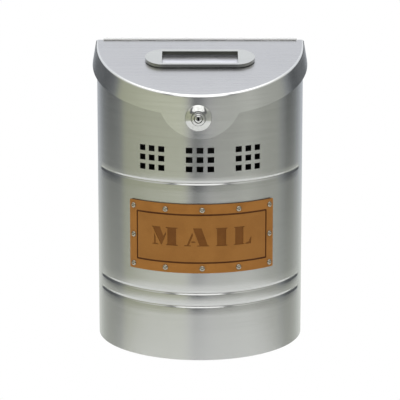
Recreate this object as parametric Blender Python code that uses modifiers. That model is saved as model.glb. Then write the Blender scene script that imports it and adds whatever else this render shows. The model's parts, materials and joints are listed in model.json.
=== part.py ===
"""A wall mounted mailbox in brushed steel sheet: a D-shaped box with a sloping hinged lid,
a flap under the lid's mail slot, a cam lock in the lid's tongue and a leather name label."""

import math

import bmesh
import bpy
from mathutils import Matrix, Vector

mm = 0.001

# Sheet and clearances
SHEET = 0.8 * mm
BACK_SHEET = 1.0 * mm
GAP = 0.3 * mm
BOOLEAN_REACH = 6 * mm

# Box: heights are measured from its underside, +Y is the wall and the front is -Y
HALF_WIDTH = 130 * mm
DEPTH = 158.5 * mm
STRAIGHT_SIDE = 8.5 * mm
WALL_POINT_HEIGHT = 187 * mm
SHELL_BACK_Y = -(BACK_SHEET + GAP)
SHELL_CORNER = 2 * mm
SHELL_FLANGE = 18 * mm
SHELL_STEPS = 40
BACK_PANEL_TOP = 373.4 * mm

# Lid plane: its height at the wall and its fall towards the front
LID_HEIGHT_AT_WALL = 376.9 * mm
LID_FALL = 43.1 / 153
LID_TILT = math.atan(LID_FALL)
LID_HALF_WIDTH = 131.5 * mm
LID_FRONT_Y = -162 * mm
LID_BACK_Y = -3.5 * mm
LID_BEND = 3 * mm
LID_FLARE = 4 * mm
SKIRT_DROP = 25.3 * mm
TONGUE_RADIUS = 51 * mm
TONGUE_CENTRE_HEIGHT = 329 * mm
TONGUE_HALF_WIDTH = 47.2 * mm
TONGUE_STEPS = 16
SKIRT_STEPS = 12
LID_REST_GAP = 1.2 * mm

# Grooves pressed round the box
GROOVE_HEIGHTS = (68.6 * mm, 84.9 * mm, 222.7 * mm)
GROOVE_HALF_WIDTH = 3 * mm
GROOVE_FLOOR = 1 * mm
GROOVE_DEPTH = 1.3 * mm
GROOVE_END = 54.5 * mm
GROOVE_FADE = 8 * mm

# Air vents: three groups of three by three square holes
VENT_WIDTH = 8.2 * mm
VENT_HEIGHT = 7.2 * mm
VENT_PITCH = 13.2 * mm
VENT_ROW_PITCH = 11.6 * mm
VENT_GROUP_ARC = 61.6 * mm
VENT_CENTRE_HEIGHT = 251.7 * mm

# Leather label and its rivets
LABEL_CENTRE_ARC = 2.6 * mm
LABEL_HALF_ARC = 96.2 * mm
LABEL_BOTTOM = 111 * mm
LABEL_TOP = 197 * mm
LABEL_THICKNESS = 2.2 * mm
LABEL_LIFT = 0.45 * mm
LABEL_STEPS = 20
RIVET_SEAT = 0.2 * mm
RIVET_ARC = 89.8 * mm
RIVET_ROWS = (117 * mm, 190 * mm)
RIVET_HEAD_RADIUS = 3.45 * mm
RIVET_SHANK_RADIUS = 1.6 * mm
RIVET_HOLE_RADIUS = 2.0 * mm

# Piano hinge along the back edge
HINGE_LENGTH = 244 * mm
HINGE_KNUCKLES = 11
HINGE_LEAF_SHEET = 0.8 * mm
HINGE_CURL = 1.75 * mm
HINGE_PIN_RADIUS = 1.05 * mm
HINGE_LEAF_WIDTH = 21 * mm
HINGE_KNUCKLE_GAP = 0.5 * mm
HINGE_CLEARANCE = 0.7 * mm
HINGE_RELIEF = 5 * mm
LID_CUT_AT_HINGE = -6.9 * mm
HINGE_Y = -(BACK_SHEET + GAP + HINGE_LEAF_SHEET / 2 + HINGE_CURL)
LEAF_UNDER_LID = -(SHEET + GAP + HINGE_LEAF_SHEET / 2)

# Mail slot: a raised bezel on the lid plane, and the flap under it
BEZEL_HALF_LENGTH = 68 * mm
BEZEL_DEPTH = 45.4 * mm
BEZEL_HEIGHT = 4.7 * mm
BEZEL_CENTRE = -66.2 * mm
SLOT_HALF_LENGTH = 47 * mm
SLOT_DEPTH = 34 * mm
SLOT_CENTRE = -67 * mm
STUD_X = 57.5 * mm
STUD_RADIUS = 2.0 * mm
STUD_LENGTH = 5.5 * mm
NUT_RADIUS = 4.0 * mm
NUT_HEIGHT = 2.4 * mm
FLAP_HALF_LENGTH = 52 * mm
FLAP_FRONT = -88.8 * mm
FLAP_LIP = 3.5 * mm
FLAP_CURL = 1.5 * mm
FLAP_AXIS_V = -45.3 * mm
FLAP_PLATE_W = -(SHEET + GAP + 0.1 * mm + SHEET / 2)
FLAP_AXIS_W = FLAP_PLATE_W - FLAP_CURL
FLAP_PIN_RADIUS = 0.8 * mm
FLAP_PIN_HALF_LENGTH = 55 * mm
BRACKET_X = 53 * mm
BRACKET_FOOT = 10 * mm
BRACKET_BACK = 4 * mm
BRACKET_FRONT = 5 * mm
BRACKET_BELOW_PIN = 3 * mm
SPRING_GAP_HALF = 10 * mm
SPRING_GAP_FRONT = 4.5 * mm
SPRING_TURNS = 6
SPRING_RADIUS = 1.6 * mm
SPRING_WIRE_RADIUS = 0.35 * mm
SPRING_TURN_GAP = 0.35 * mm
SPRING_LID_LEG = 11 * mm
SPRING_FLAP_LEG = 16 * mm

# Cam lock in the tongue, a little left of the middle; its own z axis points out of the front
LOCK_X = -2 * mm
LOCK_HEIGHT = 304 * mm
ESCUTCHEON_RADIUS = 16.2 * mm
ESCUTCHEON_BORE_RADIUS = 7.8 * mm
BARREL_LIP_RADIUS = 8.3 * mm
BARREL_HEAD_RADIUS = 7.4 * mm
BARREL_THREAD_RADIUS = 6.0 * mm
BARREL_BACK = -9.3 * mm
PLUG_RADIUS = 5.0 * mm
PLUG_BORE_RADIUS = 5.3 * mm
PLUG_FACE = 7.3 * mm
PLUG_STEP_RADIUS = 3.0 * mm
PLUG_BACK = -9.6 * mm
KEYWAY_WIDTH = 2.4 * mm
KEYWAY_HEIGHT = 4.2 * mm
LOCK_NUT_RADIUS = 10.4 * mm
LOCK_NUT_HEIGHT = 3 * mm
LOCK_NUT_SEAT = -(SHEET + GAP + 0.6 * mm)
CAM_WIDTH = 12 * mm
CAM_REACH = 22 * mm
CAM_THICKNESS = 2 * mm
CAM_BACK = -12 * mm
CAM_SCREW_RADIUS = 1.4 * mm
CAM_SCREW_HEAD_RADIUS = 4.5 * mm
NOTCH_RADIUS = 14 * mm

# Floor tray and wall fixings
TRAY_INSET = 1.5 * mm
TRAY_WALL = 12 * mm
DRAIN_RADIUS = 3 * mm
DRAIN_X = (-60 * mm, 60 * mm)
DRAIN_Y = (-35 * mm, -85 * mm)
KEYHOLE_X = 70 * mm
KEYHOLE_HEIGHT = 320 * mm
KEYHOLE_RADIUS = 5 * mm
KEYHOLE_SLOT_RADIUS = 2.5 * mm
KEYHOLE_SLOT_LENGTH = 9 * mm
LOWER_HOLE_HEIGHT = 45 * mm


# ---------------------------------------------------------------- scene and materials

def clear_scene():
    for thing in list(bpy.data.objects):
        bpy.data.objects.remove(thing)


def make_collection(name):
    collection = bpy.data.collections.new(name)
    bpy.context.scene.collection.children.link(collection)
    return collection


def make_material(name, colour, roughness, metallic):
    material = bpy.data.materials.new(name)
    material.use_nodes = True
    shader = material.node_tree.nodes["Principled BSDF"]
    shader.inputs["Base Color"].default_value = (*colour, 1)
    shader.inputs["Roughness"].default_value = roughness
    shader.inputs["Metallic"].default_value = metallic
    return material


clear_scene()
PARTS = make_collection("wall_mailbox")
CUTTERS = make_collection("cutters")

STEEL = (0.60, 0.61, 0.60)
LIGHT_STEEL = (0.70, 0.70, 0.71)
DARK_STEEL = (0.42, 0.43, 0.43)
CHROME = (0.72, 0.73, 0.73)
NICKEL = (0.75, 0.72, 0.66)
TAN_LEATHER = (0.36, 0.17, 0.06)


def add_empty(name, location, tilt=0.0, parent=None):
    """A place to build on: tilt turns it about the X axis."""
    empty = bpy.data.objects.new(name, None)
    empty.location = location
    empty.rotation_euler = (tilt, 0, 0)
    empty.parent = parent
    PARTS.objects.link(empty)
    return empty


BOX = add_empty("box_frame", (0, 0, -WALL_POINT_HEIGHT))
LID_PLANE = add_empty("lid_plane", (0, 0, LID_HEIGHT_AT_WALL), LID_TILT, BOX)
LOCK_AXIS = add_empty("lock_axis", (LOCK_X, LID_FRONT_Y, LOCK_HEIGHT), math.radians(90), BOX)


def add_part(name, mesh, parent, colour, roughness=0.35, metallic=1.0):
    part = bpy.data.objects.new(name, mesh)
    part.parent = parent
    PARTS.objects.link(part)
    mesh.materials.append(make_material(name, colour, roughness, metallic))
    mesh.shade_smooth()
    mesh.set_sharp_from_angle(angle=math.radians(30))
    return part


def add_cutter(name, mesh, parent):
    cutter = bpy.data.objects.new(name, mesh)
    cutter.parent = parent
    cutter.display_type = "WIRE"
    cutter.hide_render = True
    CUTTERS.objects.link(cutter)
    return cutter


# ---------------------------------------------------------------- modifiers and mesh tools

def thicken(part, thickness, side):
    """Side -1 puts the sheet behind the surface, 1 in front of it and 0 on both sides."""
    modifier = part.modifiers.new("sheet", "SOLIDIFY")
    modifier.thickness = thickness
    modifier.offset = side
    modifier.use_even_offset = True


def cut(part, cutter, operation="DIFFERENCE"):
    modifier = part.modifiers.new(cutter.name, "BOOLEAN")
    modifier.object = cutter
    modifier.operation = operation
    modifier.solver = "EXACT"


def mesh_from(bm, name):
    mesh = bpy.data.meshes.new(name)
    bm.to_mesh(mesh)
    bm.free()
    return mesh


def bent_sheet(columns, rows, place):
    """A grid whose points are put in place by column and row number."""
    bm = bmesh.new()
    bmesh.ops.create_grid(bm, x_segments=columns, y_segments=rows, size=1)
    for vert in bm.verts:
        column = round((vert.co.x + 1) / 2 * columns)
        row = round((vert.co.y + 1) / 2 * rows)
        vert.co = place(column, row)
    return bm


def add_box(bm, low, high, matrix=Matrix()):
    size = Vector(high) - Vector(low)
    middle = (Vector(high) + Vector(low)) / 2
    place = matrix @ Matrix.Translation(middle) @ Matrix.Diagonal((*size, 1))
    bmesh.ops.create_cube(bm, size=1, matrix=place)


def add_cylinder(bm, radius, low, high, matrix=Matrix(), segments=16):
    """A cylinder along the matrix's own z, from low to high."""
    place = matrix @ Matrix.Translation((0, 0, (low + high) / 2))
    bmesh.ops.create_cone(
        bm, cap_ends=True, segments=segments, radius1=radius, radius2=radius,
        depth=high - low, matrix=place,
    )


def arc_points(centre, radius, start, end, steps):
    """Points on an arc, in degrees counter-clockwise from +X."""
    points = []
    for step in range(steps + 1):
        angle = math.radians(start + (end - start) * step / steps)
        points.append((centre[0] + radius * math.cos(angle), centre[1] + radius * math.sin(angle)))
    return points


def flat_plate(name, outlines, thickness):
    """Closed outlines in XY, filled and extruded about z = 0; an outline inside another is a hole."""
    curve = bpy.data.curves.new(name, "CURVE")
    curve.dimensions = "2D"
    curve.fill_mode = "BOTH"
    curve.extrude = thickness / 2
    for outline in outlines:
        spline = curve.splines.new("POLY")
        spline.points.add(len(outline) - 1)
        for point, (x, y) in zip(spline.points, outline):
            point.co = (x, y, 0, 1)
        spline.use_cyclic_u = True
    return mesh_of_curve(curve)


def wire(name, points, radius, resolution):
    """A round wire through the points, with closed ends."""
    curve = bpy.data.curves.new(name, "CURVE")
    curve.dimensions = "3D"
    curve.bevel_depth = radius
    curve.bevel_resolution = resolution
    curve.use_fill_caps = True
    spline = curve.splines.new("POLY")
    spline.points.add(len(points) - 1)
    for point, place in zip(spline.points, points):
        point.co = (*place, 1)
    return mesh_of_curve(curve)


def mesh_of_curve(curve):
    guide = bpy.data.objects.new("curve_guide", curve)
    CUTTERS.objects.link(guide)
    bpy.context.view_layer.update()
    evaluated = guide.evaluated_get(bpy.context.evaluated_depsgraph_get())
    mesh = bpy.data.meshes.new_from_object(evaluated)
    bpy.data.objects.remove(guide)
    bm = bmesh.new()
    bm.from_mesh(mesh)
    bmesh.ops.remove_doubles(bm, verts=bm.verts, dist=0.001 * mm)
    bmesh.ops.recalc_face_normals(bm, faces=bm.faces)
    bm.to_mesh(mesh)
    bm.free()
    return mesh


def turned(name, profile, steps, parent, colour, closed=False, roughness=0.3):
    """A profile of (radius, z) points turned about z: it runs down the outer side."""
    bm = bmesh.new()
    verts = [bm.verts.new((radius, 0, z)) for radius, z in profile]
    for first, second in zip(verts, verts[1:]):
        bm.edges.new((first, second))
    if closed:
        bm.edges.new((verts[-1], verts[0]))
    part = add_part(name, mesh_from(bm, name), parent, colour, roughness)
    screw = part.modifiers.new("turn", "SCREW")
    screw.steps = steps
    screw.render_steps = steps
    screw.use_merge_vertices = True
    screw.merge_threshold = 0.00001
    return part


# ---------------------------------------------------------------- plan of the box

BACK_CORNER = math.radians(100)


def plan_point(angle, half_width, front_y, back_y):
    """A point of the D: angle 0 is the front, +-90 degrees the curve's ends, and past them the back."""
    if abs(angle) > math.radians(91):
        return Vector((math.copysign(half_width, angle), back_y))
    centre_y = back_y - STRAIGHT_SIDE
    return Vector((half_width * math.sin(angle), centre_y + (front_y - centre_y) * math.cos(angle)))


def plan_angles(steps):
    """Even steps round the curve, with a back corner at each end."""
    curve = [math.radians(-90 + 180 * step / steps) for step in range(steps + 1)]
    return [-BACK_CORNER, *curve, BACK_CORNER]


def shell_point(angle):
    return plan_point(angle, HALF_WIDTH, -DEPTH, SHELL_BACK_Y - SHELL_CORNER)


def angle_at_arc(arc):
    """The plan angle at an arc length from the front, walked in small steps."""
    step = math.radians(0.05) * (1 if arc >= 0 else -1)
    angle = 0.0
    travelled = 0.0
    while travelled < abs(arc):
        travelled += (shell_point(angle + step) - shell_point(angle)).length
        angle += step
    return angle


def on_shell(arc, height, lift=0.0):
    """A place on the box's front: z points out, x to the right and y up."""
    angle = angle_at_arc(arc)
    point = shell_point(angle)
    tangent = (shell_point(angle + 0.001) - shell_point(angle - 0.001)).normalized()
    right = Vector((tangent.x, tangent.y, 0))
    out = Vector((tangent.y, -tangent.x, 0))
    place = Matrix((right, Vector((0, 0, 1)), out)).transposed().to_4x4()
    place.translation = Vector((point.x, point.y, height)) + out * lift
    return place


def lid_height(y):
    return LID_HEIGHT_AT_WALL + LID_FALL * y


def rim_height(y):
    """The box's top edge, just under the closed lid."""
    return lid_height(y) - SHEET / math.cos(LID_TILT) - LID_REST_GAP


# ---------------------------------------------------------------- box

def shell_plan():
    """The sheet's outside from the left flange round the front to the right flange."""
    corner = (HALF_WIDTH - SHELL_CORNER, SHELL_BACK_Y - SHELL_CORNER)
    right = arc_points(corner, SHELL_CORNER, 0, 90, 3)[1:]
    right.append((HALF_WIDTH - SHELL_FLANGE, SHELL_BACK_Y))
    left = [(-x, y) for x, y in reversed(right)]
    front = [tuple(shell_point(angle)) for angle in plan_angles(SHELL_STEPS)]
    return left + front + right


def groove_push(y, depth):
    """How far a groove is pressed in at this distance from the wall; it fades out near the back."""
    reach = (-y - GROOVE_END) / GROOVE_FADE
    return depth * min(max(reach, 0), 1)


def shell_rows():
    rows = [(0, 0)]
    for height in GROOVE_HEIGHTS:
        rows.append((height - GROOVE_HALF_WIDTH, 0))
        rows.append((height - GROOVE_FLOOR, GROOVE_DEPTH))
        rows.append((height + GROOVE_FLOOR, GROOVE_DEPTH))
        rows.append((height + GROOVE_HALF_WIDTH, 0))
    rows.append((None, 0))
    return rows


def vent_cutter():
    bm = bmesh.new()
    for group in (-1, 0, 1):
        for column in (-1, 0, 1):
            for row in (-1, 0, 1):
                arc = group * VENT_GROUP_ARC + column * VENT_PITCH
                place = on_shell(arc, VENT_CENTRE_HEIGHT + row * VENT_ROW_PITCH)
                half = Vector((VENT_WIDTH / 2, VENT_HEIGHT / 2, BOOLEAN_REACH))
                add_box(bm, -half, half, place)
    return add_cutter("vent_cutter", mesh_from(bm, "vent_cutter"), BOX)


def rivet_places():
    """Arc and height of each label rivet: two rows of five and one at the middle of each end."""
    places = []
    for height in RIVET_ROWS:
        for step in range(-2, 3):
            places.append((LABEL_CENTRE_ARC + RIVET_ARC * step / 2, height))
    middle = sum(RIVET_ROWS) / 2
    places.append((LABEL_CENTRE_ARC - RIVET_ARC, middle))
    places.append((LABEL_CENTRE_ARC + RIVET_ARC, middle))
    return places


def rivet_cutter():
    bm = bmesh.new()
    for arc, height in rivet_places():
        place = on_shell(arc, height)
        add_cylinder(bm, RIVET_HOLE_RADIUS, -BOOLEAN_REACH, BOOLEAN_REACH, place, segments=10)
    return add_cutter("rivet_cutter", mesh_from(bm, "rivet_cutter"), BOX)


def notch_cutter():
    """The open notch behind the tongue that the lock passes through as the lid lifts."""
    outline = arc_points((LOCK_X, LOCK_HEIGHT), NOTCH_RADIUS, 180, 360, 12)
    outline.append((LOCK_X + NOTCH_RADIUS, LID_HEIGHT_AT_WALL))
    outline.append((LOCK_X - NOTCH_RADIUS, LID_HEIGHT_AT_WALL))
    mesh = flat_plate("notch_cutter", [outline], 2 * BOOLEAN_REACH)
    mesh.transform(Matrix.Rotation(math.radians(90), 4, "X"))
    mesh.transform(Matrix.Translation((0, -DEPTH, 0)))
    return add_cutter("notch_cutter", mesh, BOX)


def hinge_relief_cutter():
    """Clears the shell's back flanges where the hinge leaf lies."""
    bm = bmesh.new()
    reach = HINGE_LENGTH / 2 + 2 * GAP
    low = (-reach, SHELL_BACK_Y - SHELL_CORNER, rim_height(0) - HINGE_LEAF_WIDTH - HINGE_RELIEF)
    add_box(bm, low, (reach, BOOLEAN_REACH, LID_HEIGHT_AT_WALL + BOOLEAN_REACH))
    return add_cutter("hinge_relief", mesh_from(bm, "hinge_relief"), BOX)


def build_body_shell(rivet_holes):
    plan = shell_plan()
    rows = shell_rows()

    def place(column, row):
        x, y = plan[column]
        height, depth = rows[row]
        if height is None:
            height = rim_height(y)
        inward = Vector((-x, -y, 0)).normalized() * groove_push(y, depth)
        return Vector((x, y, height)) + inward

    bm = bent_sheet(len(plan) - 1, len(rows) - 1, place)
    shell = add_part("body_shell", mesh_from(bm, "body_shell"), BOX, STEEL)
    thicken(shell, SHEET, -1)
    cut(shell, vent_cutter())
    cut(shell, rivet_holes)
    cut(shell, notch_cutter())
    cut(shell, hinge_relief_cutter())


def keyhole_outline(x):
    """A round hole with a narrower slot above it."""
    half = math.degrees(math.asin(KEYHOLE_SLOT_RADIUS / KEYHOLE_RADIUS))
    slot_centre = (x, KEYHOLE_HEIGHT + KEYHOLE_SLOT_LENGTH)
    outline = arc_points((x, KEYHOLE_HEIGHT), KEYHOLE_RADIUS, 90 + half, 450 - half, 14)
    outline += arc_points(slot_centre, KEYHOLE_SLOT_RADIUS, 0, 180, 6)
    return outline


def build_back_panel():
    """A flat panel with two keyhole slots to hang on and two plain holes below."""
    corners = [
        (-HALF_WIDTH, 0), (HALF_WIDTH, 0),
        (HALF_WIDTH, BACK_PANEL_TOP), (-HALF_WIDTH, BACK_PANEL_TOP),
    ]
    outlines = [corners]
    for x in (-KEYHOLE_X, KEYHOLE_X):
        outlines.append(keyhole_outline(x))
        outlines.append(arc_points((x, LOWER_HOLE_HEIGHT), KEYHOLE_SLOT_RADIUS, 0, 330, 11))
    mesh = flat_plate("back_panel", outlines, BACK_SHEET)
    mesh.transform(Matrix.Rotation(math.radians(90), 4, "X"))
    mesh.transform(Matrix.Translation((0, -BACK_SHEET / 2, 0)))
    add_part("back_panel", mesh, BOX, STEEL)


def drain_cutter():
    bm = bmesh.new()
    for x in DRAIN_X:
        for y in DRAIN_Y:
            place = Matrix.Translation((x, y, 0))
            add_cylinder(bm, DRAIN_RADIUS, -BOOLEAN_REACH, BOOLEAN_REACH, place, segments=12)
    return add_cutter("drain_cutter", mesh_from(bm, "drain_cutter"), BOX)


def build_bottom_panel():
    """A D-shaped floor tray with an upturned wall that is welded inside the shell."""
    inset = SHEET + TRAY_INSET
    back_y = SHELL_BACK_Y - inset

    bm = bmesh.new()
    ring = []
    for angle in plan_angles(SHELL_STEPS):
        point = plan_point(angle, HALF_WIDTH - inset, -DEPTH + inset, back_y)
        ring.append(bm.verts.new((*point, 0)))
    floor = bm.faces.new(ring)
    floor.normal_update()
    if floor.normal.z > 0:
        floor.normal_flip()
    walls = bmesh.ops.extrude_edge_only(bm, edges=list(floor.edges))
    raised = [item for item in walls["geom"] if isinstance(item, bmesh.types.BMVert)]
    bmesh.ops.translate(bm, verts=raised, vec=(0, 0, TRAY_WALL))
    bmesh.ops.recalc_face_normals(bm, faces=bm.faces)
    tray = add_part("bottom_panel", mesh_from(bm, "bottom_panel"), BOX, STEEL)
    thicken(tray, SHEET, -1)
    cut(tray, drain_cutter())


# ---------------------------------------------------------------- lid

def lid_columns():
    """Plan angles along the skirt, closer together round the tongue."""
    edge = math.asin(TONGUE_HALF_WIDTH / LID_HALF_WIDTH)
    sweep = math.asin(TONGUE_HALF_WIDTH / TONGUE_RADIUS)
    left = [-BACK_CORNER]
    for step in range(SKIRT_STEPS):
        left.append(-math.pi / 2 + (math.pi / 2 - edge) * step / SKIRT_STEPS)
    middle = []
    for step in range(TONGUE_STEPS + 1):
        across = TONGUE_RADIUS * math.sin(sweep * (2 * step / TONGUE_STEPS - 1))
        middle.append(math.asin(across / LID_HALF_WIDTH))
    return left + middle + [-angle for angle in reversed(left)]


def skirt_bottom(x, y):
    height = lid_height(y) - SKIRT_DROP
    if abs(x) >= TONGUE_HALF_WIDTH:
        return height
    tongue = TONGUE_CENTRE_HEIGHT - math.sqrt(TONGUE_RADIUS**2 - x**2)
    return min(height, tongue)


def lid_point(angle, row):
    """Rows 0 to 2 run round the top edge's bend, row 3 is the skirt's lower edge."""
    if row == 3:
        point = plan_point(angle, LID_HALF_WIDTH, LID_FRONT_Y, LID_BACK_Y)
        sideways = point.x / LID_HALF_WIDTH
        flare = LID_FLARE * sideways * abs(sideways)
        return Vector((point.x + flare, point.y, skirt_bottom(point.x, point.y)))
    bend = math.radians(45 * row)
    inset = LID_BEND * (1 - math.sin(bend))
    point = plan_point(angle, LID_HALF_WIDTH - inset, LID_FRONT_Y + inset, LID_BACK_Y)
    drop = LID_BEND * (1 - math.cos(bend))
    return Vector((point.x, point.y, lid_height(point.y) - drop))


def lid_cutter():
    """The hinge's clearance, the mail slot, the bezel's stud holes."""
    bm = bmesh.new()
    reach = HINGE_LENGTH / 2 + HINGE_CLEARANCE
    add_box(bm, (-reach, LID_CUT_AT_HINGE, -BOOLEAN_REACH), (reach, BOOLEAN_REACH, BOOLEAN_REACH))
    half = Vector((SLOT_HALF_LENGTH, SLOT_DEPTH / 2, BOOLEAN_REACH))
    middle = Vector((0, SLOT_CENTRE, 0))
    add_box(bm, middle - half, middle + half)
    for x in (-STUD_X, STUD_X):
        place = Matrix.Translation((x, BEZEL_CENTRE, 0))
        add_cylinder(bm, STUD_RADIUS + GAP, -BOOLEAN_REACH, BOOLEAN_REACH, place, segments=12)
    return add_cutter("lid_cutter", mesh_from(bm, "lid_cutter"), LID_PLANE)


def lock_hole_cutter():
    bm = bmesh.new()
    radius = BARREL_THREAD_RADIUS + GAP
    add_cylinder(bm, radius, -BOOLEAN_REACH, BOOLEAN_REACH, segments=20)
    return add_cutter("lock_hole", mesh_from(bm, "lock_hole"), LOCK_AXIS)


def build_lid_shell():
    """The lid: one pressed sheet with its panel, skirt and tongue."""
    angles = lid_columns()
    bm = bent_sheet(len(angles) - 1, 3, lambda column, row: lid_point(angles[column], 3 - row))
    inner = [lid_point(angle, 0) for angle in angles]
    ring = [min(bm.verts, key=lambda vert: (vert.co - place).length) for place in inner]
    bm.faces.new(ring)
    bmesh.ops.recalc_face_normals(bm, faces=bm.faces)
    lid = add_part("lid_shell", mesh_from(bm, "lid_shell"), BOX, STEEL)
    thicken(lid, SHEET, -1)
    cut(lid, lid_cutter())
    cut(lid, lock_hole_cutter())


# ---------------------------------------------------------------- hinge

def hinge_axis():
    """The pin's place in the box frame: the lid leaf's curl rises from under the lid plane."""
    above = LEAF_UNDER_LID + HINGE_CURL
    along = (HINGE_Y + above * math.sin(LID_TILT)) / math.cos(LID_TILT)
    rise = along * math.sin(LID_TILT) + above * math.cos(LID_TILT)
    return Vector((0, HINGE_Y, LID_HEIGHT_AT_WALL + rise))


HINGE = add_empty("lid_hinge_axis", hinge_axis(), 0.0, BOX)


def hinge_path(tail_angle):
    """A leaf in section: its plate runs to the pin and curls round it from the given angle."""
    start = math.radians(tail_angle)
    tail = Vector((math.sin(start), -math.cos(start))) * HINGE_LEAF_WIDTH
    touch = Vector((math.cos(start), math.sin(start))) * HINGE_CURL
    path = [tuple(touch + tail)]
    path += arc_points((0, 0), HINGE_CURL, tail_angle, tail_angle + 300, 14)
    return path


def hinge_leaf(name, tail_angle, keep_even, relief_low, relief_high):
    """One leaf: a rolled strip whose knuckles are left standing where the other leaf is cut away."""
    path = hinge_path(tail_angle)
    half = HINGE_LENGTH / 2

    def place(column, row):
        y, z = path[row]
        return Vector((-half if column == 0 else half, y, z))

    bm = bent_sheet(1, len(path) - 1, place)
    leaf = add_part(name, mesh_from(bm, name), HINGE, DARK_STEEL)
    thicken(leaf, HINGE_LEAF_SHEET, 0)
    bm = bmesh.new()
    width = HINGE_LENGTH / HINGE_KNUCKLES
    for knuckle in range(HINGE_KNUCKLES):
        if (knuckle % 2 == 0) == keep_even:
            continue
        left = -half + knuckle * width - HINGE_KNUCKLE_GAP / 2
        right = left + width + HINGE_KNUCKLE_GAP
        if knuckle == 0:
            left -= BOOLEAN_REACH
        if knuckle == HINGE_KNUCKLES - 1:
            right += BOOLEAN_REACH
        add_box(bm, (left, *relief_low), (right, *relief_high))
    cut(leaf, add_cutter(name + "_cutter", mesh_from(bm, name + "_cutter"), HINGE))


def build_hinge():
    clear = HINGE_CURL + HINGE_LEAF_SHEET / 2 + HINGE_CLEARANCE
    relief = HINGE_RELIEF
    hinge_leaf("hinge_leaf_box", 0, True, (-relief, -clear), (relief, relief))
    tail = math.degrees(LID_TILT) - 90
    hinge_leaf("hinge_leaf_lid", tail, False, (-clear, -relief), (relief, relief))
    bm = bmesh.new()
    along_x = Matrix.Rotation(math.radians(90), 4, "Y")
    half = HINGE_LENGTH / 2 + GAP
    add_cylinder(bm, HINGE_PIN_RADIUS, -half, half, along_x, segments=12)
    add_part("hinge_pin", mesh_from(bm, "hinge_pin"), HINGE, DARK_STEEL)


# ---------------------------------------------------------------- mail slot

def stadium(half_length, depth, centre_y, steps):
    radius = depth / 2
    outline = arc_points((half_length - radius, centre_y), radius, -90, 90, steps)
    outline += arc_points((radius - half_length, centre_y), radius, 90, 270, steps)
    return outline


def slot_outline():
    low = SLOT_CENTRE - SLOT_DEPTH / 2
    high = SLOT_CENTRE + SLOT_DEPTH / 2
    reach = SLOT_HALF_LENGTH
    return [(-reach, low), (reach, low), (reach, high), (-reach, high)]


def build_bezel():
    """The raised frame round the mail slot, with a threaded stud under each end."""
    outlines = [stadium(BEZEL_HALF_LENGTH, BEZEL_DEPTH, BEZEL_CENTRE, 12), slot_outline()]
    mesh = flat_plate("slot_bezel", outlines, BEZEL_HEIGHT)
    mesh.transform(Matrix.Translation((0, 0, GAP + BEZEL_HEIGHT / 2)))
    bezel = add_part("slot_bezel", mesh, LID_PLANE, LIGHT_STEEL)
    bm = bmesh.new()
    for x in (-STUD_X, STUD_X):
        place = Matrix.Translation((x, BEZEL_CENTRE, 0))
        add_cylinder(bm, STUD_RADIUS, -STUD_LENGTH, BEZEL_HEIGHT / 2, place, segments=12)
    cut(bezel, add_cutter("bezel_studs", mesh_from(bm, "bezel_studs"), LID_PLANE), "UNION")
    for side, x in (("left", -STUD_X), ("right", STUD_X)):
        hexagon = arc_points((x, BEZEL_CENTRE), NUT_RADIUS, 0, 300, 5)
        hole = arc_points((x, BEZEL_CENTRE), STUD_RADIUS + GAP, 0, 330, 11)
        nut = flat_plate("bezel_nut", [hexagon, hole], NUT_HEIGHT)
        nut.transform(Matrix.Translation((0, 0, -SHEET - GAP - NUT_HEIGHT / 2)))
        add_part("bezel_nut_" + side, nut, LID_PLANE, DARK_STEEL)


def flap_path():
    """The flap in section: a lip, the plate under the slot, and the curl round its pin."""
    path = [(FLAP_FRONT, FLAP_PLATE_W - FLAP_LIP), (FLAP_FRONT, FLAP_PLATE_W)]
    path += arc_points((FLAP_AXIS_V, FLAP_AXIS_W), FLAP_CURL, 90, -200, 12)
    return path


def build_flap():
    path = flap_path()
    half = FLAP_HALF_LENGTH

    def place(column, row):
        v, w = path[row]
        return Vector((-half if column == 0 else half, v, w))

    bm = bent_sheet(1, len(path) - 1, place)
    flap = add_part("slot_flap", mesh_from(bm, "slot_flap"), LID_PLANE, LIGHT_STEEL)
    thicken(flap, SHEET, 0)
    bm = bmesh.new()
    behind = FLAP_AXIS_V + BOOLEAN_REACH
    ahead = FLAP_AXIS_V - SPRING_GAP_FRONT
    low = FLAP_AXIS_W - BOOLEAN_REACH
    high = FLAP_AXIS_W + BOOLEAN_REACH
    add_box(bm, (-SPRING_GAP_HALF, ahead, low), (SPRING_GAP_HALF, behind, high))
    cut(flap, add_cutter("flap_cutter", mesh_from(bm, "flap_cutter"), LID_PLANE))


def build_flap_pin():
    bm = bmesh.new()
    place = Matrix.Translation((0, FLAP_AXIS_V, FLAP_AXIS_W)) @ Matrix.Rotation(math.radians(90), 4, "Y")
    half = FLAP_PIN_HALF_LENGTH
    add_cylinder(bm, FLAP_PIN_RADIUS, -half, half, place, segments=10)
    add_part("flap_pin", mesh_from(bm, "flap_pin"), LID_PLANE, DARK_STEEL)


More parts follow.
